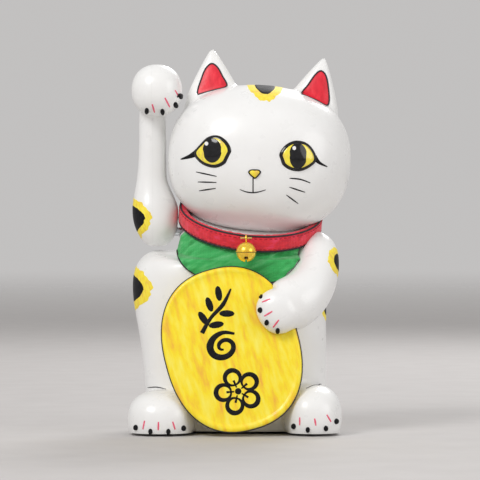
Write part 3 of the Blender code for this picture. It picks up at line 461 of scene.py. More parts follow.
def revolved(profile, matrix, steps=96):
    """Solid ring from a closed (radius, height) profile turned about the matrix's Z axis."""
    rings = [
        [matrix @ Vector((radius * math.cos(angle), radius * math.sin(angle), height))
         for radius, height in profile]
        for angle in around(steps)]
    return loft(rings, closed=True)


def cord(points, radius, facing=UPWARD, closed=True):
    """Round cord along a line; its sections are set out from the facing direction."""
    rings = []
    last = len(points) - 1
    for index, point in enumerate(points):
        before = points[index - 1] if closed else points[max(index - 1, 0)]
        following = points[(index + 1) % len(points)] if closed else points[min(index + 1, last)]
        ahead = (following - before).normalized()
        side = ahead.cross(facing)
        if side.length < 0.1:
            side = ahead.cross(BACKWARD)
        side.normalize()
        up = side.cross(ahead)
        rings.append([
            point + (side * math.cos(angle) + up * math.sin(angle)) * radius
            for angle in around(CORD_SIDES)])
    return loft(rings, closed)


def about_x(degrees):
    return Matrix.Rotation(math.radians(degrees), 4, "X")


def about_y(degrees):
    return Matrix.Rotation(math.radians(degrees), 4, "Y")


NECK = Matrix.Translation(NECK_CENTRE) @ about_y(NECK_ROLL) @ about_x(NECK_TILT)
COIN = Matrix.Translation(COIN_CENTRE) @ about_x(COIN_LEAN) @ about_y(COIN_TILT)


# ---------------------------------------------------------------- materials

def add(tree, kind, settings=None, **sockets):
    """A new shader node. Sockets take a value, or the output of another node."""
    node = tree.nodes.new(kind)
    for key, value in (settings or {}).items():
        setattr(node, key, value)
    for name, value in sockets.items():
        socket = node.inputs[name.replace("_", " ")]
        if isinstance(value, bpy.types.NodeSocket):
            tree.links.new(value, socket)
        else:
            socket.default_value = value
    return node


def noise(tree, coords, scale, detail=4.0, stretch=(1.0, 1.0, 1.0), turn=(0.0, 0.0, 0.0)):
    """Noise whose features are about 1/scale metres across, longer where stretch is small."""
    angles = tuple(math.radians(angle) for angle in turn)
    turned = add(tree, "ShaderNodeMapping", Vector=coords, Rotation=angles).outputs["Vector"]
    mapped = add(tree, "ShaderNodeMapping", Vector=turned, Scale=stretch).outputs["Vector"]
    return add(tree, "ShaderNodeTexNoise", Vector=mapped, Scale=scale, Detail=detail).outputs["Fac"]


def mixed(tree, operation, first, second):
    """The output of a maths node between two values or outputs."""
    node = tree.nodes.new("ShaderNodeMath")
    node.operation = operation
    for socket, value in zip(node.inputs, (first, second)):
        if isinstance(value, bpy.types.NodeSocket):
            tree.links.new(value, socket)
        else:
            socket.default_value = value
    return node.outputs["Value"]


def weave(tree, coords, pitch):
    """Height of a plain weave with the given thread spacing in millimetres."""
    scale = math.pi / (10.0 * pitch * MM)
    heights = []
    for direction in ("X", "Z"):
        wave = add(
            tree, "ShaderNodeTexWave", {"bands_direction": direction}, Vector=coords, Scale=scale,
            Distortion=0.6, Detail_Scale=2.0)
        heights.append(wave.outputs["Fac"])
    return mixed(tree, "MULTIPLY", *heights)


def ramp(tree, factor, stops):
    node = add(tree, "ShaderNodeValToRGB", Fac=factor)
    elements = node.color_ramp.elements
    for element, (place, _) in zip(elements, (stops[0], stops[-1])):
        element.position = place
    for place, _ in stops[1:-1]:
        elements.new(place)
    for element, (_, colour) in zip(elements, stops):
        element.color = (*colour, 1.0)
    return node.outputs["Color"]


def finish(name, stops, grain, roughness, bump=0.02, stretch=(1.0, 1.0, 1.0), turn=(0.0, 0.0, 0.0),
           metallic=0.0, coat=0.0, sheen=0.0, weave_pitch=0.0, grain_detail=4.0, shine=0.5):
    """A procedural material.

    stops colour a noise of the given grain, roughness runs between two values, and bump is the
    height in millimetres of the grain, or of the weave where there is one.
    """
    material = bpy.data.materials.new(name)
    material.use_nodes = True
    tree = material.node_tree
    shader = tree.nodes["Principled BSDF"]
    coords = add(tree, "ShaderNodeTexCoord").outputs["Object"]
    streaks = noise(tree, coords, grain, grain_detail, stretch, turn)
    fine = noise(tree, coords, grain * 3.1, 3.0)
    tree.links.new(ramp(tree, streaks, stops), shader.inputs["Base Color"])
    spread = add(
        tree, "ShaderNodeMapRange", Value=fine, From_Min=0.3, From_Max=0.7, To_Min=roughness[0],
        To_Max=roughness[1])
    tree.links.new(spread.outputs["Result"], shader.inputs["Roughness"])
    height = weave(tree, coords, weave_pitch) if weave_pitch else mixed(tree, "ADD", streaks, fine)
    raised = add(tree, "ShaderNodeBump", Height=height, Distance=bump * MM, Strength=1.0)
    tree.links.new(raised.outputs["Normal"], shader.inputs["Normal"])
    shader.inputs["Metallic"].default_value = metallic
    shader.inputs["Specular IOR Level"].default_value = shine
    shader.inputs["Coat Weight"].default_value = coat
    shader.inputs["Coat Roughness"].default_value = 0.12
    shader.inputs["Sheen Weight"].default_value = sheen
    return material


def two_tone(dark, pale):
    return (0.3, dark), (0.7, pale)


LOOKS = {
    "white": dict(
        stops=two_tone((0.88, 0.875, 0.86), (0.91, 0.91, 0.9)), grain=60.0, roughness=(0.26, 0.36),
        bump=0.004, coat=0.3, grain_detail=2.0),
    "inner": dict(
        stops=two_tone((0.7, 0.69, 0.66), (0.77, 0.765, 0.74)), grain=700.0, roughness=(0.42, 0.6),
        bump=0.03),
    "black_paint": dict(
        stops=((0.3, (0.006, 0.006, 0.007)), (0.62, (0.012, 0.012, 0.014)), (0.8, (0.03, 0.03, 0.035))),
        grain=900.0, roughness=(0.4, 0.6), bump=0.03, stretch=(0.3, 1.0, 1.0), turn=(0.0, 40.0, 0.0),
        shine=0.12),
    "yellow_paint": dict(
        stops=((0.32, (0.86, 0.56, 0.1)), (0.5, (0.98, 0.78, 0.03)), (0.7, (1.0, 0.84, 0.1))),
        grain=800.0, roughness=(0.45, 0.65), bump=0.03, stretch=(1.0, 1.0, 0.25), turn=(0.0, 20.0, 0.0)),
    "eye_yellow": dict(
        stops=((0.35, (0.86, 0.62, 0.12)), (0.5, (0.96, 0.8, 0.04)), (0.7, (1.0, 0.86, 0.08))),
        grain=900.0, roughness=(0.12, 0.2), bump=0.01, stretch=(1.0, 1.0, 0.3), coat=0.8),
    "eye_black": dict(
        stops=((0.35, (0.004, 0.004, 0.005)), (0.75, (0.012, 0.012, 0.014))), grain=700.0,
        roughness=(0.05, 0.1), bump=0.004, coat=0.5, shine=0.2),
    "glint": dict(
        stops=two_tone((0.9, 0.9, 0.9), (0.97, 0.97, 0.97)), grain=700.0, roughness=(0.15, 0.25),
        bump=0.004, coat=0.5),
    "ear_red": dict(
        stops=((0.3, (0.66, 0.012, 0.03)), (0.6, (0.84, 0.022, 0.045)), (0.8, (0.9, 0.06, 0.08))),
        grain=600.0, roughness=(0.35, 0.5), stretch=(1.0, 1.0, 0.3)),
    "toe_red": dict(
        stops=two_tone((0.82, 0.06, 0.13), (0.93, 0.2, 0.3)), grain=900.0, roughness=(0.35, 0.5)),
    "coin": dict(
        stops=((0.26, (0.9, 0.44, 0.05)), (0.4, (0.97, 0.66, 0.02)), (0.5, (1.0, 0.78, 0.012)),
               (0.72, (1.0, 0.88, 0.12))),
        grain=330.0, roughness=(0.3, 0.48), bump=0.06, stretch=(1.0, 1.0, 0.2), turn=(0.0, 15.0, 0.0),
        coat=0.15, grain_detail=7.0),
    "collar": dict(
        stops=((0.3, (0.6, 0.008, 0.04)), (0.52, (0.83, 0.016, 0.035)), (0.75, (0.88, 0.04, 0.12))),
        grain=420.0, roughness=(0.62, 0.8), bump=0.12, stretch=(0.35, 1.0, 1.0), sheen=0.25,
        weave_pitch=0.75),
    "bib": dict(
        stops=((0.3, (0.02, 0.3, 0.06)), (0.5, (0.035, 0.43, 0.1)), (0.66, (0.1, 0.52, 0.17)),
               (0.8, (0.3, 0.66, 0.35))),
        grain=420.0, roughness=(0.7, 0.88), bump=0.12, stretch=(0.22, 1.0, 1.0), turn=(0.0, 24.0, 0.0),
        sheen=0.3, weave_pitch=0.8, grain_detail=6.0),
    "dark_cord": dict(
        stops=two_tone((0.012, 0.012, 0.016), (0.03, 0.03, 0.035)), grain=1800.0,
        roughness=(0.5, 0.75), bump=0.06),
    "red_thread": dict(
        stops=two_tone((0.3, 0.004, 0.012), (0.46, 0.01, 0.03)), grain=2200.0, roughness=(0.5, 0.7),
        bump=0.05),
    "bell": dict(
        stops=((0.3, (0.93, 0.5, 0.04)), (0.6, (1.0, 0.7, 0.05)), (0.8, (1.0, 0.8, 0.2))), grain=700.0,
        roughness=(0.16, 0.3), bump=0.01, metallic=0.55, coat=0.4),
    "brass": dict(
        stops=two_tone((0.66, 0.43, 0.12), (0.86, 0.64, 0.26)), grain=900.0, roughness=(0.22, 0.38),
        bump=0.01, metallic=1.0),
    "steel": dict(
        stops=two_tone((0.44, 0.45, 0.47), (0.66, 0.67, 0.69)), grain=1200.0, roughness=(0.2, 0.4),
        bump=0.01, stretch=(1.0, 0.15, 1.0), metallic=1.0),
    "copper": dict(
        stops=two_tone((0.5, 0.17, 0.06), (0.82, 0.38, 0.17)), grain=2600.0, roughness=(0.2, 0.35),
        bump=0.15, stretch=(0.03, 0.03, 1.0), metallic=1.0),
    "black": dict(
        stops=two_tone((0.012, 0.012, 0.013), (0.028, 0.028, 0.03)), grain=1500.0,
        roughness=(0.38, 0.55), bump=0.03),
    "red": dict(
        stops=two_tone((0.52, 0.014, 0.02), (0.68, 0.03, 0.035)), grain=900.0, roughness=(0.3, 0.45)),
    "board": dict(
        stops=((0.45, (0.01, 0.13, 0.05)), (0.5, (0.02, 0.22, 0.08)), (0.55, (0.01, 0.13, 0.05))),
        grain=240.0, roughness=(0.3, 0.5)),
    "cell": dict(
        stops=two_tone((0.03, 0.06, 0.22), (0.05, 0.1, 0.32)), grain=300.0, roughness=(0.2, 0.35),
        bump=0.01, stretch=(1.0, 0.1, 1.0), coat=0.5),
    "rubber": dict(
        stops=two_tone((0.03, 0.03, 0.032), (0.07, 0.07, 0.072)), grain=1600.0, roughness=(0.75, 0.95),
        bump=0.05),
}
FINISH = {name: finish(name + "_finish", **look) for name, look in LOOKS.items()}
# The finish of each CAD material that stays in view
NODE_FINISH = {
    "white_shell": "white", "inner_plastic": "inner", "black_plastic": "black", "red_plastic": "red",
    "eye_plastic": "eye_black", "gold_plastic": "coin", "red_cloth": "collar", "green_cloth": "bib",
    "brass": "brass", "steel": "steel", "copper": "copper", "board": "board", "cell_wrap": "cell",
    "rubber": "rubber",
}


def piece(name, mesh, finish_name, body="root", replaces=(), crease=38.0):
    """Turn a millimetre mesh into a finished piece that rides on a body."""
    final = mesh.copy()
    final.transform(Matrix.Scale(MM, 4))
    final.name = name
    final.materials.clear()
    final.materials.append(FINISH[finish_name])
    final.shade_smooth()
    final.set_sharp_from_angle(angle=math.radians(crease))
    thing = bpy.data.objects.new(name, final)
    bpy.context.scene.collection.objects.link(thing)
    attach(thing, body)
    if replaces:
        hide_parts(*replaces)


# ---------------------------------------------------------------- body

def body_solid(inset, points=BODY_POINTS, steps=4):
    rings = []
    for height, left, right, front, back, drop in BODY_SECTIONS:
        shoulder = height > SHOULDER_HEIGHT
        centre = Vector((NECK_CENTRE.x, 0.0, height - (inset if shoulder else 0.0)))
        ring = outline(
            right - centre.x - inset, centre.x - left - inset, -front - inset, back - inset,
            BODY_ROUNDNESS, points)
        for point in ring:
            if point.y < 0:
                point.z -= drop * point.y / front
        rings.append([point + centre for point in ring])
    for below, left, right, front, back in NECK_SECTIONS:
        ring = outline(right - inset, left - inset, front - inset, back - inset, 2.0, points)
        level = Vector((0.0, 0.0, -below - inset))
        rings.append([NECK @ (point + level) for point in ring])
    if inset > 0:
        rings.insert(0, [Vector((point.x, point.y, -3.0)) for point in rings[0]])
    return loft(flowing(rings, steps))


def coin_outline(inset):
    half_width = COIN_HALF_WIDTH - inset
    half_length = COIN_HALF_LENGTH - inset
    return outline(half_width, half_width, half_length, half_length, COIN_ROUNDNESS, COIN_POINTS)


def coin_ring(inset, depth):
    """The coin's outline in place, at a distance behind its front face."""
    shift = Vector((0.0, depth - COIN_THICKNESS / 2, 0.0))
    return [COIN @ (about_x(90) @ point + shift) for point in coin_outline(inset)]


def coin_solid(levels):
    """Loft across the coin's thickness: (distance behind the front face, inset)."""
    return loft([coin_ring(inset, depth) for depth, inset in levels])


def coin_room(depth):
    """Room for the coin that reaches some way in front of its face."""
    return coin_solid(((-depth, -COIN_GAP), (COIN_THICKNESS + COIN_GAP, -COIN_GAP)))


def collar_room():
    outer = COLLAR_RADIUS + COLLAR_GAP
    inner = COLLAR_RADIUS - COLLAR_THICKNESS - COLLAR_GAP
    top = COLLAR_HALF_HEIGHT + COLLAR_GAP
    return revolved(((outer, top), (outer, -top), (inner, -top), (inner, top)), NECK)


COIN_POCKET = coin_room(COIN_POCKET_DEPTH)
COIN_SLOT = coin_room(COIN_SLOT_DEPTH)
COLLAR_ROOM = collar_room()
BELOW_SHELL = between(2, -REACH, SHELL_BOTTOM)
DOOR_ROOM = box(*DOOR_ROOM_CORNERS)


def neck_bar(start, end, radius):
    return bar(NECK @ Vector((0, 0, start)), NECK @ Vector((0, 0, end)), radius, 96)


def body_skin():
    parts = [body_solid(0.0)]
    parts += [superellipsoid(centre, half_size, FOOT_ROUNDNESS) for centre, half_size in FEET]
    parts.append(superellipsoid(TAIL_CENTRE, TAIL_HALF_SIZE, TAIL_ROUNDNESS))
    return merged(parts, BODY_VOXEL, BODY_SMOOTHING)


BODY_SKIN = body_skin()


def ball_hollow(centre, half_size, roundness):
    return superellipsoid(centre, half_size - ALL_ROUND_WALL, roundness, segments=32, rings=20)


def make_body():
    hollow = body_solid(WALL, 48, 2)
    below_feet = between(2, -REACH, SHELL_BOTTOM + WALL)
    feet_hollows = [
        cut(ball_hollow(centre, half_size, FOOT_ROUNDNESS), below_feet) for centre, half_size in FEET]
    coupler = NECK @ Matrix.Translation(COUPLER_OFFSET)
    deck_hole = bar(coupler @ Vector((0, 0, -12)), coupler @ Vector((0, 0, 12)), COUPLER_RADIUS)
    shaft_hole = bar((PIVOT.x - 26, 0, PIVOT.z), (PIVOT.x + 8, 0, PIVOT.z), SHAFT_HOLE_RADIUS)
    shell = cut(BODY_SKIN, COIN_POCKET, hollow, *feet_hollows, BELOW_SHELL, deck_hole, shaft_hole)
    front = kept(shell, between(1, -REACH, -SEAM_GAP))
    rear = kept(cut(shell, DOOR_ROOM), between(1, SEAM_GAP, REACH))
    piece("body_front", front, "white", replaces=("body_front_shell",))
    piece("body_rear", rear, "white", replaces=("body_rear_shell",))


# ---------------------------------------------------------------- head

def ear_solid(side):
    base, tip, half_width = EARS[side]
    upward = (tip - base).normalized()
    across = upward.cross(BACKWARD).normalized()
    rings = []
    for along, width_share, depth_share in EAR_STEPS:
        centre = base.lerp(tip, along)
        width = half_width * width_share
        depth = EAR_HALF_DEPTH * depth_share
        flat = outline(width, width, depth, depth, EAR_ROUNDNESS, 48)
        rings.append([centre + across * point.x + Vector((0, point.y, 0)) for point in flat])
    return loft(flowing(rings, 5))


def head_ball(half_size, segments, rings):
    return superellipsoid(HEAD_CENTRE, half_size, HEAD_ROUNDNESS, about_y(HEAD_ROLL), segments, rings)


HEAD_SKIN = merged(
    [head_ball(HEAD_HALF_SIZE, 96, 60)] + [ear_solid(side) for side in EARS], HEAD_VOXEL,
    HEAD_SMOOTHING)


def make_head(pockets):
    rim = cut(neck_bar(HEAD_BOTTOM, SKIRT_TOP, 50.0), neck_bar(-5.0, 20.0, SKIRT_BORE))
    hollow = cut(head_ball(HEAD_HALF_SIZE - ALL_ROUND_WALL, 48, 30), rim)
    below = between(2, -REACH, HEAD_BOTTOM, NECK)
    shell = cut(HEAD_SKIN, hollow, below, COLLAR_ROOM, *pockets)
    front = kept(shell, between(1, -REACH, HEAD_SEAM - SEAM_GAP))
    rear = kept(shell, between(1, HEAD_SEAM + SEAM_GAP, REACH))
    piece("head_front", front, "white", replaces=("head_front_shell",))
    piece("head_rear", rear, "white", replaces=("head_rear_shell",))


# ---------------------------------------------------------------- arms

def arm_solid(inset, points=48):
    rings = []
    last = len(ARM_SECTIONS) - 1
    for index, (height, outer, inner, front, back) in enumerate(ARM_SECTIONS):
        centre = Vector((ARM_SEAM, 0.0, height))
        if index == 0:
            centre.z += inset
        if index == last:
            centre.z -= inset
        ring = outline(
            inner - centre.x - inset, centre.x - outer - inset, -front - inset, back - inset,
            ARM_ROUNDNESS, points)
        rings.append([point + centre for point in ring])
    return loft(flowing(rings, 4))


ARM_SKIN = merged(
    [arm_solid(0.0), superellipsoid(PAW_CENTRE, PAW_HALF_SIZE, PAW_ROUNDNESS)], ARM_VOXEL,
    RAISED_ARM_SMOOTHING)


def make_raised_arm():
    boss = bar((ARM_SEAM + 1.0, 0, PIVOT.z), (PIVOT.x - 5.0, 0, PIVOT.z), SHAFT_BOSS_RADIUS)
    hollow = cut(arm_solid(WALL, 32), boss)
    paw_hollow = ball_hollow(PAW_CENTRE, PAW_HALF_SIZE, PAW_ROUNDNESS)
    bore = bar((low("arm_shaft").x - 0.3, 0, PIVOT.z), (PIVOT.x + 8.0, 0, PIVOT.z), SHAFT_BORE_RADIUS)
    shell = cut(ARM_SKIN, hollow, paw_hollow, bore)
    outer = kept(shell, between(0, -REACH, ARM_SEAM - ARM_SEAM_GAP))
    inner = kept(shell, between(0, ARM_SEAM + ARM_SEAM_GAP, REACH))
    piece("arm_outer", outer, "white", "waving_arm", ("arm_outer_shell",))
    piece("arm_inner", inner, "white", "waving_arm", ("arm_inner_shell",))


def holding_arm_skin():
    rings = []
    last = len(HOLDING_ARM) - 1
    for index, (centre, half_width, half_depth) in enumerate(HOLDING_ARM):
        before = HOLDING_ARM[max(index - 1, 0)][0]
        following = HOLDING_ARM[min(index + 1, last)][0]
        direction = (following - before).normalized()
        side = direction.cross(BACKWARD).normalized()
        out = side.cross(direction).normalized()
        flat = outline(half_width, half_width, half_depth, half_depth, 2.0, 48)
        rings.append([centre + side * point.x + out * point.y for point in flat])
    paw = superellipsoid(
        HOLDING_PAW_CENTRE, HOLDING_PAW_HALF_SIZE, PAW_ROUNDNESS, about_y(HOLDING_PAW_TURN))
    return merged([loft(flowing(rings, 5)), paw], ARM_VOXEL, HOLDING_ARM_SMOOTHING)


HOLDING_SKIN = holding_arm_skin()


def make_holding_arm():
    arm = cut(HOLDING_SKIN, body_solid(-0.25), COIN_SLOT, COLLAR_ROOM)
    piece("holding_arm_skin", arm, "white", replaces=("holding_arm",))


# ---------------------------------------------------------------- coin

def make_coin():
    piece("coin", coin_solid(COIN_LEVELS), "coin", replaces=("koban_coin",), crease=60.0)
    rings = []
    for point in coin_outline(COIN_LINE_INSET):
        outward = point.normalized()
        ring = []
        for angle in around(CORD_SIDES):
            spot = point + outward * COIN_LINE_RADIUS * math.cos(angle)
            behind = COIN_LINE_DEPTH - COIN_THICKNESS / 2 + COIN_LINE_RADIUS * math.sin(angle)
            ring.append(COIN @ (about_x(90) @ spot + BACKWARD * behind))
        rings.append(ring)
    piece("coin_edge_line", loft(rings, closed=True), "dark_cord")


# ---------------------------------------------------------------- painted details

PAINT_SINK = 0.35
STROKE_LIFT = 0.16
RAGGED_HALO = 0.05
RAGGED_SPOT = 0.015
# Patches on a surface: how high they stand, how much they dome, rings of faces, depth below it
EYE_RIM = dict(lift=0.35, dome=0.9, rings=12, sink=1.0)
EYE_IRIS = dict(lift=0.5, dome=1.0, rings=12, sink=0.2)
EYE_PUPIL = dict(lift=0.95, dome=0.75, rings=10, sink=0.2)
EYE_GLINT = dict(lift=1.75, dome=0.12, rings=4, sink=-0.6)
NOSE_RIM = dict(lift=0.4, dome=0.5, rings=6, sink=1.0)
NOSE_PAD = dict(lift=0.6, dome=0.9, rings=6, sink=0.2)
EAR_POCKET = dict(lift=3.0, rings=6, sink=0.9)
EAR_LINING = dict(lift=-0.25, dome=0.3, rings=8, sink=0.8)
CLAW = dict(lift=0.35, dome=0.45, rings=5)
HALO = dict(lift=0.12, rings=12)
SPOT = dict(lift=0.24, rings=12)


def from_front(mesh):
    """Finds the point and normal of a skin at (x, z) as seen from the front."""
    tree = tree_of(mesh)

    def look(x, z):
        start = Vector((x, -REACH, z))
        place, normal, _, _ = tree.ray_cast(start, BACKWARD)
        if place is None:
            place, normal, _, _ = tree.find_nearest(Vector((x, -20.0, z)))
        return place, normal
    return look


def round_axis(mesh, axis_x, axis_y):
    """The same for (angle, z) around an upright axis: 0 is the front, 90 the viewer's right."""
    tree = tree_of(mesh)

    def look(angle, z):
        turn = math.radians(angle)
        outward = Vector((math.sin(turn), -math.cos(turn), 0.0))
        start = Vector((axis_x, axis_y, z)) + outward * REACH
        place, normal, _, _ = tree.ray_cast(start, -outward)
        if place is None:
            place, normal, _, _ = tree.find_nearest(Vector((axis_x, axis_y, z)) + outward * 20.0)
        return place, normal
    return look


def from_above(mesh):
    """The same for (x, y) as seen from above."""
    tree = tree_of(mesh)

    def look(x, y):
        place, normal, _, _ = tree.ray_cast(Vector((x, y, REACH)), -UPWARD)
        return place, normal
    return look


def on_coin(across, up):
    """Point and normal on the coin's recessed field, from its own centre and axes."""
    place = COIN @ Vector((across, COIN_FIELD - COIN_THICKNESS / 2, up))
    return place, COIN.to_3x3() @ FRONTWARD


def ellipse(centre, half_size, points=56, ragged=0.0, lean=0.0):
    """Outline of an ellipse as 2-D points, with a pencil-like ragged edge if asked for."""
    spots = []
    turn = math.radians(lean)
    for angle in around(points):
        wobble = math.sin(9 * angle) + 0.7 * math.sin(23 * angle + 1.0) + 0.5 * math.sin(17 * angle)
        reach = 1 + ragged * wobble / 2.2
        u = math.cos(angle) * half_size[0] * reach
        v = math.sin(angle) * half_size[1] * reach
        spots.append((
            centre[0] + u * math.cos(turn) - v * math.sin(turn),
            centre[1] + u * math.sin(turn) + v * math.cos(turn)))
    return spots


def slab(look, points, lift, dome=0.0, rings=9, sink=PAINT_SINK, centre=None):
    """Closed patch that follows a surface inside an outline, flat or domed on top."""
    if centre is None:
        centre = tuple(sum(values) / len(points) for values in zip(*points))
    bm = bmesh.new()
    levels = []
    for height_above in (True, False):
        rows = []
        for ring in range(1, rings + 1):
            share = ring / rings
            row = []
            for point in points:
                u = centre[0] + (point[0] - centre[0]) * share
                v = centre[1] + (point[1] - centre[1]) * share
                place, normal = look(u, v)
                top = lift + dome * math.sqrt(max(0.0, 1 - share * share))
                if ring == rings:
                    top *= 0.35
                row.append(bm.verts.new(place + normal * (top if height_above else -sink)))
            rows.append(row)
        place, normal = look(*centre)
        middle_vert = bm.verts.new(place + normal * (lift + dome if height_above else -sink))
        levels.append((middle_vert, rows))
    count = len(points)
    for middle_vert, rows in levels:
        for index in range(count):
            following = (index + 1) % count
            bm.faces.new((middle_vert, rows[0][index], rows[0][following]))
            for inner, outer in zip(rows, rows[1:]):
                bm.faces.new((inner[index], outer[index], outer[following], inner[following]))
    top_edge = levels[0][1][-1]
    low_edge = levels[1][1][-1]
    for index in range(count):
        following = (index + 1) % count
        bm.faces.new((top_edge[index], low_edge[index], low_edge[following], top_edge[following]))
    bmesh.ops.recalc_face_normals(bm, faces=bm.faces[:])
    return mesh_from(bm)


def curved(path, steps):
    """A smooth 2-D or 3-D line through the given points."""
    if len(path) == 2:
        first, last = Vector(path[0]), Vector(path[1])
        return [first.lerp(last, step / steps) for step in range(steps + 1)]
    rings = [[Vector(point)] for point in path]
    return [ring[0] for ring in flowing(rings, steps)]


def stroke(look, path, widths, lift=STROKE_LIFT, steps=8):
    """Raised painted line along a path; widths are half widths spread evenly along it."""
    line = curved(path, steps)
    found = [look(point[0], point[1]) for point in line]
    rings = []
    last = len(found) - 1
    for index, (place, normal) in enumerate(found):
        ahead = found[min(index + 1, last)][0] - found[max(index - 1, 0)][0]
        side = normal.cross(ahead).normalized()
        along = index / last * (len(widths) - 1)
        whole = min(int(along), len(widths) - 2)
        half = widths[whole] + (widths[whole + 1] - widths[whole]) * (along - whole)
        section = (
            (-1.0, -PAINT_SINK), (-1.0, lift * 0.3), (-0.6, lift), (0.6, lift), (1.0, lift * 0.3),
            (1.0, -PAINT_SINK))
        rings.append([place + side * half * across + normal * height for across, height in section])
    return loft(rings)


# ---------------------------------------------------------------- face

# Lines seen from the front, as (x, z)
WHISKERS = (
    ((-20.4, 121.7), (-10.9, 119.6)), ((-19.6, 117.1), (-11.0, 116.8)), ((-19.0, 113.0), (-11.3, 114.1)),
    ((22.7, 118.7), (27.8, 118.2), (32.3, 116.6)), ((22.7, 114.6), (29.9, 112.3)),
    ((21.3, 111.0), (26.7, 107.1)),
)
MOUTH = ((-0.2, 113.6), (2.6, 112.5), (5.7, 112.1), (8.8, 112.5), (11.7, 113.4))
PHILTRUM = ((5.9, 119.0), (5.9, 112.3))
EYE_OUTLINES = {
    "left": ((-4.1, 131.0), (-6.0, 135.6), (-10.2, 138.4), (-14.6, 137.9), (-18.2, 134.8), (-21.4, 130.2),
             (-19.2, 126.6), (-15.6, 124.3), (-11.0, 123.6), (-6.6, 125.8)),
    "right": ((17.9, 129.2), (20.4, 133.6), (25.2, 136.0), (30.2, 135.2), (33.6, 132.0), (35.2, 127.2),
              (32.6, 124.2), (27.6, 122.0), (22.8, 122.6), (19.2, 125.2)),
}
PUPILS = {"left": ((-12.5, 131.4), (4.7, 6.0)), "right": ((26.3, 129.0), (4.5, 6.3))}
GLINTS = {"left": (-14.9, 134.5), "right": (24.5, 132.4)}
GLINT_HALF_SIZE = (1.0, 1.15)
EYE_RIM_WIDTH = 0.95
WHISKER_WIDTHS = (0.16, 0.34, 0.3, 0.18)
MOUTH_WIDTHS = (0.12, 0.3, 0.3, 0.12)
PHILTRUM_WIDTHS = (0.26, 0.26)
EYELINER_LIFT = 0.3
# Nose outline around its own middle
NOSE_OUTLINE = (
    (0.0, -2.3), (1.9, -0.9), (3.0, 0.9), (2.1, 1.9), (0.0, 2.1), (-2.1, 1.9), (-3.0, 0.9), (-1.9, -0.9))
NOSE_RIM_WIDTH = 0.5
EYELINERS = {
    "left": (((-20.0, 130.6), (-23.2, 129.0), (-27.6, 127.7)), (1.9, 1.0, 0.12)),
    "right": (((34.2, 128.4), (36.6, 125.9), (40.2, 124.2)), (1.5, 0.7, 0.15)),
}
EAR_REDS = {
    "left": ((-19.9, 158.4), (-18.4, 165.6), (-15.8, 171.4), (-13.4, 173.1), (-10.9, 171.6),
             (-8.4, 167.2), (-6.3, 162.5), (-13.0, 160.3)),
    "right": ((28.7, 158.3), (32.0, 163.2), (35.6, 168.2), (37.9, 169.7), (39.9, 168.2), (41.4, 162.0),
              (41.1, 153.4), (34.9, 155.8)),
}
EAR_LINING_INSET = 0.3
EAR_LINE_RADIUS = 0.36
EAR_LINE_LIFT = 0.02


def shrunk(points, amount):
    """Outline moved towards its middle by about an amount."""
    centre = Vector((0.0, 0.0))
    for point in points:
        centre += Vector(point[:2]) / len(points)
    moved = []
    for point in points:
        away = Vector(point[:2]) - centre
        moved.append(centre + away * (1 - amount / away.length))
    return moved


def closed_curve(path, steps):
    """Smooth closed line through the given points."""
    wrapped = list(path[-2:]) + list(path) + list(path[:2])
    rings = [[Vector(point)] for point in wrapped]
    dense = [ring[0] for ring in flowing(rings, steps)]
    return dense[2 * steps:-2 * steps][:len(path) * steps]


def make_eyes(look):
    for side, path in EYE_OUTLINES.items():
        outer = closed_curve(path, 6)
        centre = (EYES[side].x, EYES[side].z)
        rim = slab(look, outer, centre=centre, **EYE_RIM)
        piece(f"eye_{side}_rim", rim, "eye_black", replaces=(f"eye_{side}",))
        iris = slab(look, shrunk(outer, EYE_RIM_WIDTH), centre=centre, **EYE_IRIS)
        piece(f"eye_{side}_iris", iris, "eye_yellow")
        pupil = slab(look, ellipse(*PUPILS[side], 48), **EYE_PUPIL)
        piece(f"eye_{side}_pupil", pupil, "eye_black")
        glint = slab(look, ellipse(GLINTS[side], GLINT_HALF_SIZE, 20), **EYE_GLINT)
        piece(f"eye_{side}_glint", glint, "glint")


def make_face(look):
    lines = [stroke(look, path, WHISKER_WIDTHS) for path in WHISKERS]
    lines.append(stroke(look, MOUTH, MOUTH_WIDTHS))
    lines.append(stroke(look, PHILTRUM, PHILTRUM_WIDTHS))
    lines += [stroke(look, path, widths, EYELINER_LIFT) for path, widths in EYELINERS.values()]
    nose = closed_curve([(NOSE.x + x, NOSE.z + z) for x, z in NOSE_OUTLINE], 5)
    lines.append(slab(look, nose, **NOSE_RIM))
    piece("face_lines", together(*lines), "black_paint")
    pad = slab(look, shrunk(nose, NOSE_RIM_WIDTH), **NOSE_PAD)
    piece("nose_pad", pad, "yellow_paint", replaces=("nose",))


def make_ear_reds(look):
    """Pockets for the ear linings, which come back to be cut from the head."""
    pockets = []
    for side, path in EAR_REDS.items():
        shape = closed_curve(path, 5)
        pockets.append(slab(look, shape, **EAR_POCKET))
        lining = slab(look, shrunk(shape, EAR_LINING_INSET), **EAR_LINING)
        piece(f"ear_lining_{side}", lining, "ear_red", replaces=(f"ear_insert_{side}",))
        edge = [look(point[0], point[1]) for point in shape]
        line = [place + normal * EAR_LINE_LIFT for place, normal in edge]
        piece(f"ear_line_{side}", cord(line, EAR_LINE_RADIUS), "dark_cord")
    return pockets


# ---------------------------------------------------------------- spots and toes

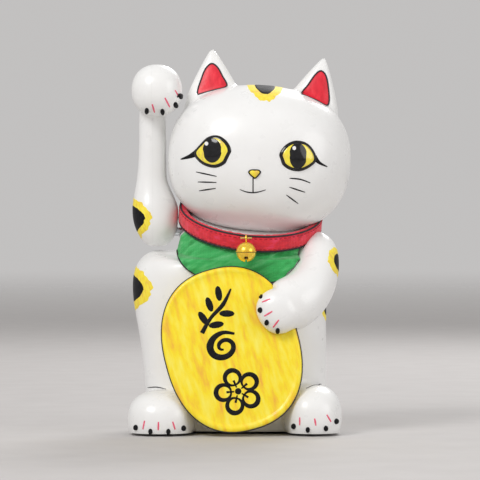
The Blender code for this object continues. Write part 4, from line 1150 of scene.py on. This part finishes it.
# Claws and toe lines seen from the front, as (x, z)
LEFT_FOOT_CLAWS = ((-48.0, 4.0), (-41.2, 2.4), (-33.0, 2.4), (-26.1, 3.8))
RIGHT_FOOT_CLAWS = ((24.6, 4.6), (31.0, 3.2), (39.3, 3.8), (44.2, 6.8))
HOLDING_CLAWS = ((9.3, 64.6), (9.2, 58.1), (12.2, 52.4), (17.2, 48.6))
RAISED_CLAWS = ((-43.6, 150.4), (-36.3, 150.0), (-30.2, 153.2), (-27.9, 157.4))
BODY_TOES = (
    ((-43.9, 7.4), (-44.7, 3.4)), ((-37.5, 6.9), (-37.6, 3.1)), ((-31.0, 7.0), (-29.9, 3.4)),
    ((27.3, 8.9), (27.3, 5.3)), ((34.1, 8.5), (34.7, 5.2)), ((39.7, 10.2), (41.7, 6.8)),
)
HOLDING_TOES = (
    ((10.0, 61.8), (13.8, 63.3)), ((11.1, 55.4), (14.7, 57.6)), ((15.1, 50.2), (17.7, 53.7)),
)
RAISED_TOES = (
    ((-41.0, 153.4), (-40.0, 149.7)), ((-35.1, 156.4), (-32.9, 152.2)), ((-30.4, 160.0), (-28.6, 156.8)),
)
# Painted shadow: black lines in the creases at the tops of the feet
FOOT_CREASE_SHADOWS = (
    ((-43.4, 20.8), (-39.2, 21.4), (-34.6, 20.7)), ((30.4, 21.7), (34.0, 22.9), (38.0, 22.6)),
)
CREASE_SHADOW_WIDTHS = (0.1, 0.24, 0.24, 0.08)
CLAW_HALF_SIZE = (1.0, 1.35)
TOE_WIDTHS = (0.3, 0.42, 0.3)
# Spots as centre, half size of the yellow halo and half size of the black. Round the body and the
# arms a place is (angle, height), with 0 at the front and 90 on the viewer's right.
BODY_SPOTS = (
    ((-90.0, 67.3), (23.0, 10.4), (18.0, 6.6)),
    ((84.0, 58.4), (17.0, 6.4), (12.0, 3.9)),
    ((152.0, 40.0), (24.0, 15.0), (16.0, 10.0)),
    ((178.0, 24.5), (6.0, 4.4), (4.2, 3.0)),
)
HOLDING_SPOT = ((78.0, 79.4), (46.0, 7.2), (31.0, 4.4))
RAISED_SPOT = ((-82.0, 100.1), (80.0, 9.8), (66.0, 6.4))
# On top of the head a place is (x, y)
CROWN_SPOT = ((11.6, -12.5), (8.4, 17.6), (4.9, 13.2))
HOLDING_AXIS = (33.0, -14.0)


def claws(look, spots):
    return [slab(look, ellipse(spot, CLAW_HALF_SIZE, 24), **CLAW) for spot in spots]


def toes(look, paths):
    return [stroke(look, path, TOE_WIDTHS) for path in paths]


def spot_pair(look, centre, yellow, black):
    """Yellow halo with a ragged pencil edge, and the black spot on it."""
    halo = slab(look, ellipse(centre, yellow, 96, RAGGED_HALO), **HALO)
    return halo, slab(look, ellipse(centre, black, 72, RAGGED_SPOT), **SPOT)


def make_spots():
    body = round_axis(BODY_SKIN, NECK_CENTRE.x, 0.0)
    arm = round_axis(ARM_SKIN, ARM_SEAM, 0.0)
    holding = round_axis(HOLDING_SKIN, *HOLDING_AXIS)
    crown = from_above(HEAD_SKIN)
    body_front = from_front(BODY_SKIN)
    paw = from_front(ARM_SKIN)
    holding_front = from_front(HOLDING_SKIN)
    root_pairs = [spot_pair(body, *spot) for spot in BODY_SPOTS]
    root_pairs.append(spot_pair(holding, *HOLDING_SPOT))
    root_pairs.append(spot_pair(crown, *CROWN_SPOT))
    piece("spot_halos", together(*[pair[0] for pair in root_pairs]), "yellow_paint")
    piece("spots", together(*[pair[1] for pair in root_pairs]), "black_paint")
    halo, black = spot_pair(arm, *RAISED_SPOT)
    piece("arm_spot_halo", halo, "yellow_paint", "waving_arm")
    piece("arm_spot", black, "black_paint", "waving_arm")
    dark = claws(body_front, LEFT_FOOT_CLAWS + RIGHT_FOOT_CLAWS) + claws(holding_front, HOLDING_CLAWS)
    # The black lines in the foot creases are painted shadow, made in one piece with the claws
    dark += [stroke(body_front, path, CREASE_SHADOW_WIDTHS) for path in FOOT_CREASE_SHADOWS]
    piece("claws", together(*dark), "black_paint")
    piece("toe_lines", together(*toes(body_front, BODY_TOES), *toes(holding_front, HOLDING_TOES)), "toe_red")
    piece("raised_claws", together(*claws(paw, RAISED_CLAWS)), "black_paint", "waving_arm")
    piece("raised_toe_lines", together(*toes(paw, RAISED_TOES)), "toe_red", "waving_arm")


# ---------------------------------------------------------------- coin motifs

# Middle of each brushed motif on the coin, and its turn
SPRIG = ((-2.2, 19.6), 14.0)
SWIRL = ((-3.2, 2.0), 10.0)
BLOSSOM = ((-2.2, -19.6), 8.0)
MOTIF_LIFT = 0.22
SPRIG_STEM = ((-11.0, -6.4), (-4.0, -2.2), (4.0, 0.6), (10.6, 5.2))
SPRIG_LEAVES = (
    ((-7.2, -0.6), 95.0), ((-1.6, 3.6), 80.0), ((4.6, 6.0), 70.0), ((-3.4, -6.2), -20.0),
    ((3.4, -4.0), -30.0),
)
LEAF_HALF_SIZE = (3.5, 1.55)
STEM_WIDTHS = (1.1, 0.8, 1.0, 0.3)
SWIRL_POINTS = 15
SWIRL_START = 30
SWIRL_STEP = 41
SWIRL_REACH = 8.0
SWIRL_TIGHTENING = 0.47
SWIRL_FLATNESS = 0.86
SWIRL_WIDTHS = (0.5, 1.7, 1.3, 1.0, 0.9, 0.4)
PETALS = 5
PETAL_DISTANCE = 6.7
PETAL_RADIUS = 3.5
PETAL_POINTS = 12
PETAL_WIDTHS = (0.35, 0.9, 1.15, 0.9, 0.35)
STAMEN_ENDS = (1.9, 5.4)
STAMEN_WIDTHS = (0.3, 0.55)


def motif_frame(spot):
    (across, up), turn = spot
    angle = math.radians(turn)

    def look(u, v):
        return on_coin(
            across + u * math.cos(angle) - v * math.sin(angle),
            up + u * math.sin(angle) + v * math.cos(angle))
    return look


def make_motifs():
    """A leafy sprig, a rolling swirl and a five-petalled blossom, in brush strokes."""
    sprig = motif_frame(SPRIG)
    brushed = [stroke(sprig, SPRIG_STEM, STEM_WIDTHS, MOTIF_LIFT)]
    for place, lean in SPRIG_LEAVES:
        brushed.append(slab(sprig, ellipse(place, LEAF_HALF_SIZE, 32, 0.04, lean), MOTIF_LIFT, rings=4))
    spiral = []
    for step in range(SWIRL_POINTS):
        angle = math.radians(SWIRL_START + SWIRL_STEP * step)
        reach = SWIRL_REACH - SWIRL_TIGHTENING * step
        spiral.append((reach * math.cos(angle), SWIRL_FLATNESS * reach * math.sin(angle)))
    swirl = motif_frame(SWIRL)
    brushed.append(stroke(swirl, spiral, SWIRL_WIDTHS, MOTIF_LIFT, 5))
    blossom = motif_frame(BLOSSOM)
    for petal in around(PETALS):
        angle = petal + math.pi / 2
        direction = Vector((math.cos(angle), math.sin(angle)))
        centre = direction * PETAL_DISTANCE
        loop = []
        for step in range(PETAL_POINTS + 1):
            turn = angle + math.pi + 2 * math.pi * step / PETAL_POINTS
            loop.append(centre + Vector((math.cos(turn), math.sin(turn))) * PETAL_RADIUS)
        brushed.append(stroke(blossom, loop, PETAL_WIDTHS, MOTIF_LIFT, 4))
        stamen = [direction * reach for reach in STAMEN_ENDS]
        brushed.append(stroke(blossom, stamen, STAMEN_WIDTHS, MOTIF_LIFT, 4))
    brushed.append(slab(blossom, ellipse((0.0, 0.0), (1.5, 1.5), 24), MOTIF_LIFT, rings=3))
    piece("coin_motifs", together(*brushed), "black_paint")


# ---------------------------------------------------------------- collar, bib and bell

def cad_copy(node):
    """A CAD node's mesh in millimetres."""
    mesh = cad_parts[node].data.copy()
    mesh.transform(Matrix.Scale(1 / MM, 4))
    return mesh


def puffed(mesh, voxel, growth, limit):
    """Padded cloth: a remeshed solid that cloth simulation swells and wrinkles, up to a limit."""
    soft = after(after(mesh, "REMESH", mode="VOXEL", voxel_size=voxel), "SMOOTH", factor=0.5, iterations=4)
    start = [vert.co.copy() for vert in soft.vertices]
    trial = soft.copy()
    trial.transform(Matrix.Scale(SIM_SCALE, 4))
    thing = bpy.data.objects.new("cloth", trial)
    bpy.context.scene.collection.objects.link(thing)
    cloth = thing.modifiers.new("cloth", "CLOTH")
    for key, value in CLOTH.items():
        setattr(cloth.settings, key, value)
    cloth.settings.shrink_min = -growth
    cloth.settings.effector_weights.gravity = 0.0
    cloth.collision_settings.use_collision = False
    cloth.collision_settings.use_self_collision = False
    scene = bpy.context.scene
    for number in range(1, SIM_FRAMES + 1):
        scene.frame_set(number)
    graph = bpy.context.evaluated_depsgraph_get()
    swollen = bpy.data.meshes.new_from_object(thing.evaluated_get(graph))
    swollen.transform(Matrix.Scale(1 / SIM_SCALE, 4))
    bpy.data.objects.remove(thing)
    scene.frame_set(1)
    for vert, first in zip(swollen.vertices, start):
        shift = vert.co - first
        if shift.length > limit:
            shift = shift.normalized() * limit
        vert.co = first + shift
    return swollen


def collar_spot(angle, radius, height):
    return NECK @ Vector((radius * math.cos(angle), radius * math.sin(angle), height))


def unbroken(line):
    """The line split wherever it jumps."""
    runs = [[line[0]]]
    for before, point in zip(line, line[1:]):
        if (point - before).length > HEM_LARGEST_STEP:
            runs.append([])
        runs[-1].append(point)
    return runs


def stitches(places):
    """Short raised threads between pairs of points, each with the normal it stands on."""
    threads = []
    for start, end, normal in places:
        side = (end - start).cross(normal).normalized() * STITCH_HALF_WIDTH
        rings = []
        for share, height, width in STITCH_RISE:
            centre = start.lerp(end, share) + normal * height
            rings.append([
                centre + side * width * across + normal * up for across, up in STITCH_SECTION])
        threads.append(loft(rings))
    return together(*threads)


def make_collar():
    band = puffed(cad_copy("collar"), 0.75, 0.05, 0.3)
    piece("collar_band", band, "collar", replaces=("collar",), crease=70.0)
    edges = []
    for height in (COLLAR_HALF_HEIGHT - 0.25, 0.25 - COLLAR_HALF_HEIGHT):
        line = [collar_spot(angle, COLLAR_RADIUS - PIPING_INSET, height) for angle in around(PIPING_POINTS)]
        edges.append(cord(line, PIPING_RADIUS))
    piece("collar_piping", together(*edges), "dark_cord")
    tree = tree_of(band)
    places = []
    for height in (COLLAR_HALF_HEIGHT - STITCH_FROM_EDGE, STITCH_FROM_EDGE - COLLAR_HALF_HEIGHT):
        for angle in around(STITCHES_PER_ROUND):
            inward = NECK.to_3x3() @ Vector((-math.cos(angle), -math.sin(angle), 0.0))
            hits = [
                tree.ray_cast(collar_spot(angle + turn, COLLAR_RADIUS + 3, height), inward)[0]
                for turn in (0.0, math.radians(STITCH_ANGLE))]
            places.append((hits[0], hits[1], -inward))
    piece("collar_stitches", stitches(places), "red_thread")


def bib_edge(cloth):
    """Points along the lower edge of the bib's front, from left to right."""
    tree = tree_of(cloth)
    half_width = BIB_HALF_WIDTH - HEM_INSET
    drop = BIB_DROP - HEM_INSET
    whole = outline(half_width, half_width, drop, drop, BIB_ROUNDNESS, 2 * BIB_EDGE_POINTS)
    line = []
    for point in whole[BIB_EDGE_POINTS:] + whole[:1]:
        start = Vector((BIB_CENTRE_X + point.x, -REACH, BIB_CENTRE_Z + point.y))
        place, _, _, _ = tree.ray_cast(start, BACKWARD)
        if place is not None:
            line.append(place)
    return line


def make_bib():
    cloth = puffed(cad_copy("bib"), 0.42, 0.08, 0.35)
    piece("bib_cloth", cloth, "bib", replaces=("bib",), crease=70.0)
    runs = [run for run in unbroken(bib_edge(cloth)) if len(run) > 3]
    hems = [cord(run, HEM_RADIUS, BACKWARD, closed=False) for run in runs]
    piece("bib_hem", together(*hems), "dark_cord")


def bell_profile(outer, inner, start, end):
    """Half of a hollow ball as a closed (radius, height) profile."""
    steps = 14
    profile = []
    for radius, order in ((outer, range(steps + 1)), (inner, range(steps, -1, -1))):
        for step in order:
            angle = math.radians(start + (end - start) * step / steps)
            profile.append((max(radius * math.sin(angle), 0.05), radius * math.cos(angle)))
    return profile


def make_bell():
    at_bell = Matrix.Translation(BELL_CENTRE)
    inner = BELL_RADIUS - BELL_WALL
    upper = revolved(bell_profile(BELL_RADIUS, inner, 0, 88), at_bell, 64)
    lower = revolved(bell_profile(BELL_RADIUS, inner, 92, 180), at_bell, 64)
    x, y, z = BELL_CENTRE
    mouth = box(
        (x - BELL_SLOT_HALF_WIDTH, y - BELL_SLOT_REACH, z - 2 * BELL_RADIUS),
        (x + BELL_SLOT_HALF_WIDTH, y + BELL_SLOT_REACH, z - BELL_SLOT_TOP))
    holes = []
    for end in (y - BELL_HOLE_OFFSET, y + BELL_HOLE_OFFSET):
        holes.append(bar((x, end, z - 6.0), (x, end, z - 2.0), BELL_HOLE_RADIUS, 24))
    band = revolved(BELL_BAND, at_bell, 64)
    eye_centre = Vector((x, y, high("bell_upper_half").z - BELL_EYE_DROP))
    eye = [
        eye_centre + (BACKWARD * math.cos(angle) + UPWARD * math.sin(angle)) * BELL_EYE_RADIUS
        for angle in around(32)]
    eye_ring = cord(eye, BELL_EYE_THICKNESS)
    piece("bell_top", together(upper, band, eye_ring), "bell", "bell", ("bell_upper_half",))
    piece("bell_bottom", cut(lower, mouth, *holes), "bell", "bell", ("bell_lower_half",))
    groove = [
        BELL_CENTRE + Vector((math.cos(angle), math.sin(angle), 0.0)) * (BELL_RADIUS - 0.02)
        for angle in around(64)]
    piece("bell_groove", cord(groove, BELL_GROOVE_THICKNESS), "dark_cord", "bell")


make_body()
HEAD_FRONT = from_front(HEAD_SKIN)
make_head(make_ear_reds(HEAD_FRONT))
make_eyes(HEAD_FRONT)
make_face(HEAD_FRONT)
make_raised_arm()
make_holding_arm()
make_coin()
make_motifs()
make_spots()
make_collar()
make_bib()
make_bell()

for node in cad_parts.values():
    for material_slot in node.material_slots:
        material_slot.material = FINISH[NODE_FINISH[material_slot.material.name]]


# ---------------------------------------------------------------- floor, light and camera

def make_floor():
    """Pale floor that fades into the background far away and isn't seen from below."""
    bm = bmesh.new()
    bmesh.ops.create_circle(bm, cap_ends=True, segments=96, radius=FLOOR_RADIUS)
    mesh = mesh_from(bm)
    floor = bpy.data.objects.new("floor", mesh)
    bpy.context.scene.collection.objects.link(floor)
    material = bpy.data.materials.new("pale_floor")
    material.use_nodes = True
    tree = material.node_tree
    shader = tree.nodes["Principled BSDF"]
    coords = add(tree, "ShaderNodeTexCoord").outputs["Object"]
    grain = noise(tree, coords, 40.0)
    tree.links.new(ramp(tree, grain, ((0.3, FLOOR_DARK), (0.7, FLOOR_PALE))), shader.inputs["Base Color"])
    shader.inputs["Roughness"].default_value = 0.8
    away = add(tree, "ShaderNodeVectorMath", {"operation": "LENGTH"})
    tree.links.new(coords, away.inputs[0])
    fade = add(
        tree, "ShaderNodeMapRange", {"interpolation_type": "SMOOTHSTEP"}, Value=away.outputs["Value"],
        From_Min=FLOOR_FADE_START, From_Max=FLOOR_FADE_END, To_Min=0.0, To_Max=1.0)
    behind = add(tree, "ShaderNodeNewGeometry").outputs["Backfacing"]
    hidden = mixed(tree, "MAXIMUM", fade.outputs["Result"], behind)
    clear = add(tree, "ShaderNodeBsdfTransparent")
    mix = tree.nodes.new("ShaderNodeMixShader")
    tree.links.new(hidden, mix.inputs["Fac"])
    tree.links.new(shader.outputs["BSDF"], mix.inputs[1])
    tree.links.new(clear.outputs["BSDF"], mix.inputs[2])
    output = tree.nodes["Material Output"]
    tree.links.new(mix.outputs["Shader"], output.inputs["Surface"])
    mesh.materials.append(material)


def aimed(name, data, place):
    """A lamp or camera that looks at the middle of the figurine."""
    thing = bpy.data.objects.new(name, data)
    thing.location = place
    thing.rotation_mode = "QUATERNION"
    thing.rotation_quaternion = (CAT_MIDDLE - Vector(place)).to_track_quat("-Z", "Y")
    bpy.context.scene.collection.objects.link(thing)
    return thing


def lamp(name, place, size, power):
    data = bpy.data.lights.new(name, "AREA")
    data.shape = "DISK"
    data.size = size
    data.energy = power
    aimed(name, data, place)


def make_studio():
    world = bpy.data.worlds.new("studio")
    world.use_nodes = True
    sky = world.node_tree.nodes["Background"]
    sky.inputs["Color"].default_value = (*BACKGROUND, 1.0)
    sky.inputs["Strength"].default_value = 1.0
    bpy.context.scene.world = world
    for name, (place, size, power) in LAMPS.items():
        lamp(name, place, size, power)
    camera_data = bpy.data.cameras.new("camera")
    camera_data.lens = LENS
    eye = (CAT_MIDDLE.x, CAT_MIDDLE.y - CAMERA_DISTANCE, CAMERA_HEIGHT)
    bpy.context.scene.camera = aimed("camera", camera_data, eye)
    bpy.context.scene.view_settings.view_transform = "Standard"


make_floor()
make_studio()
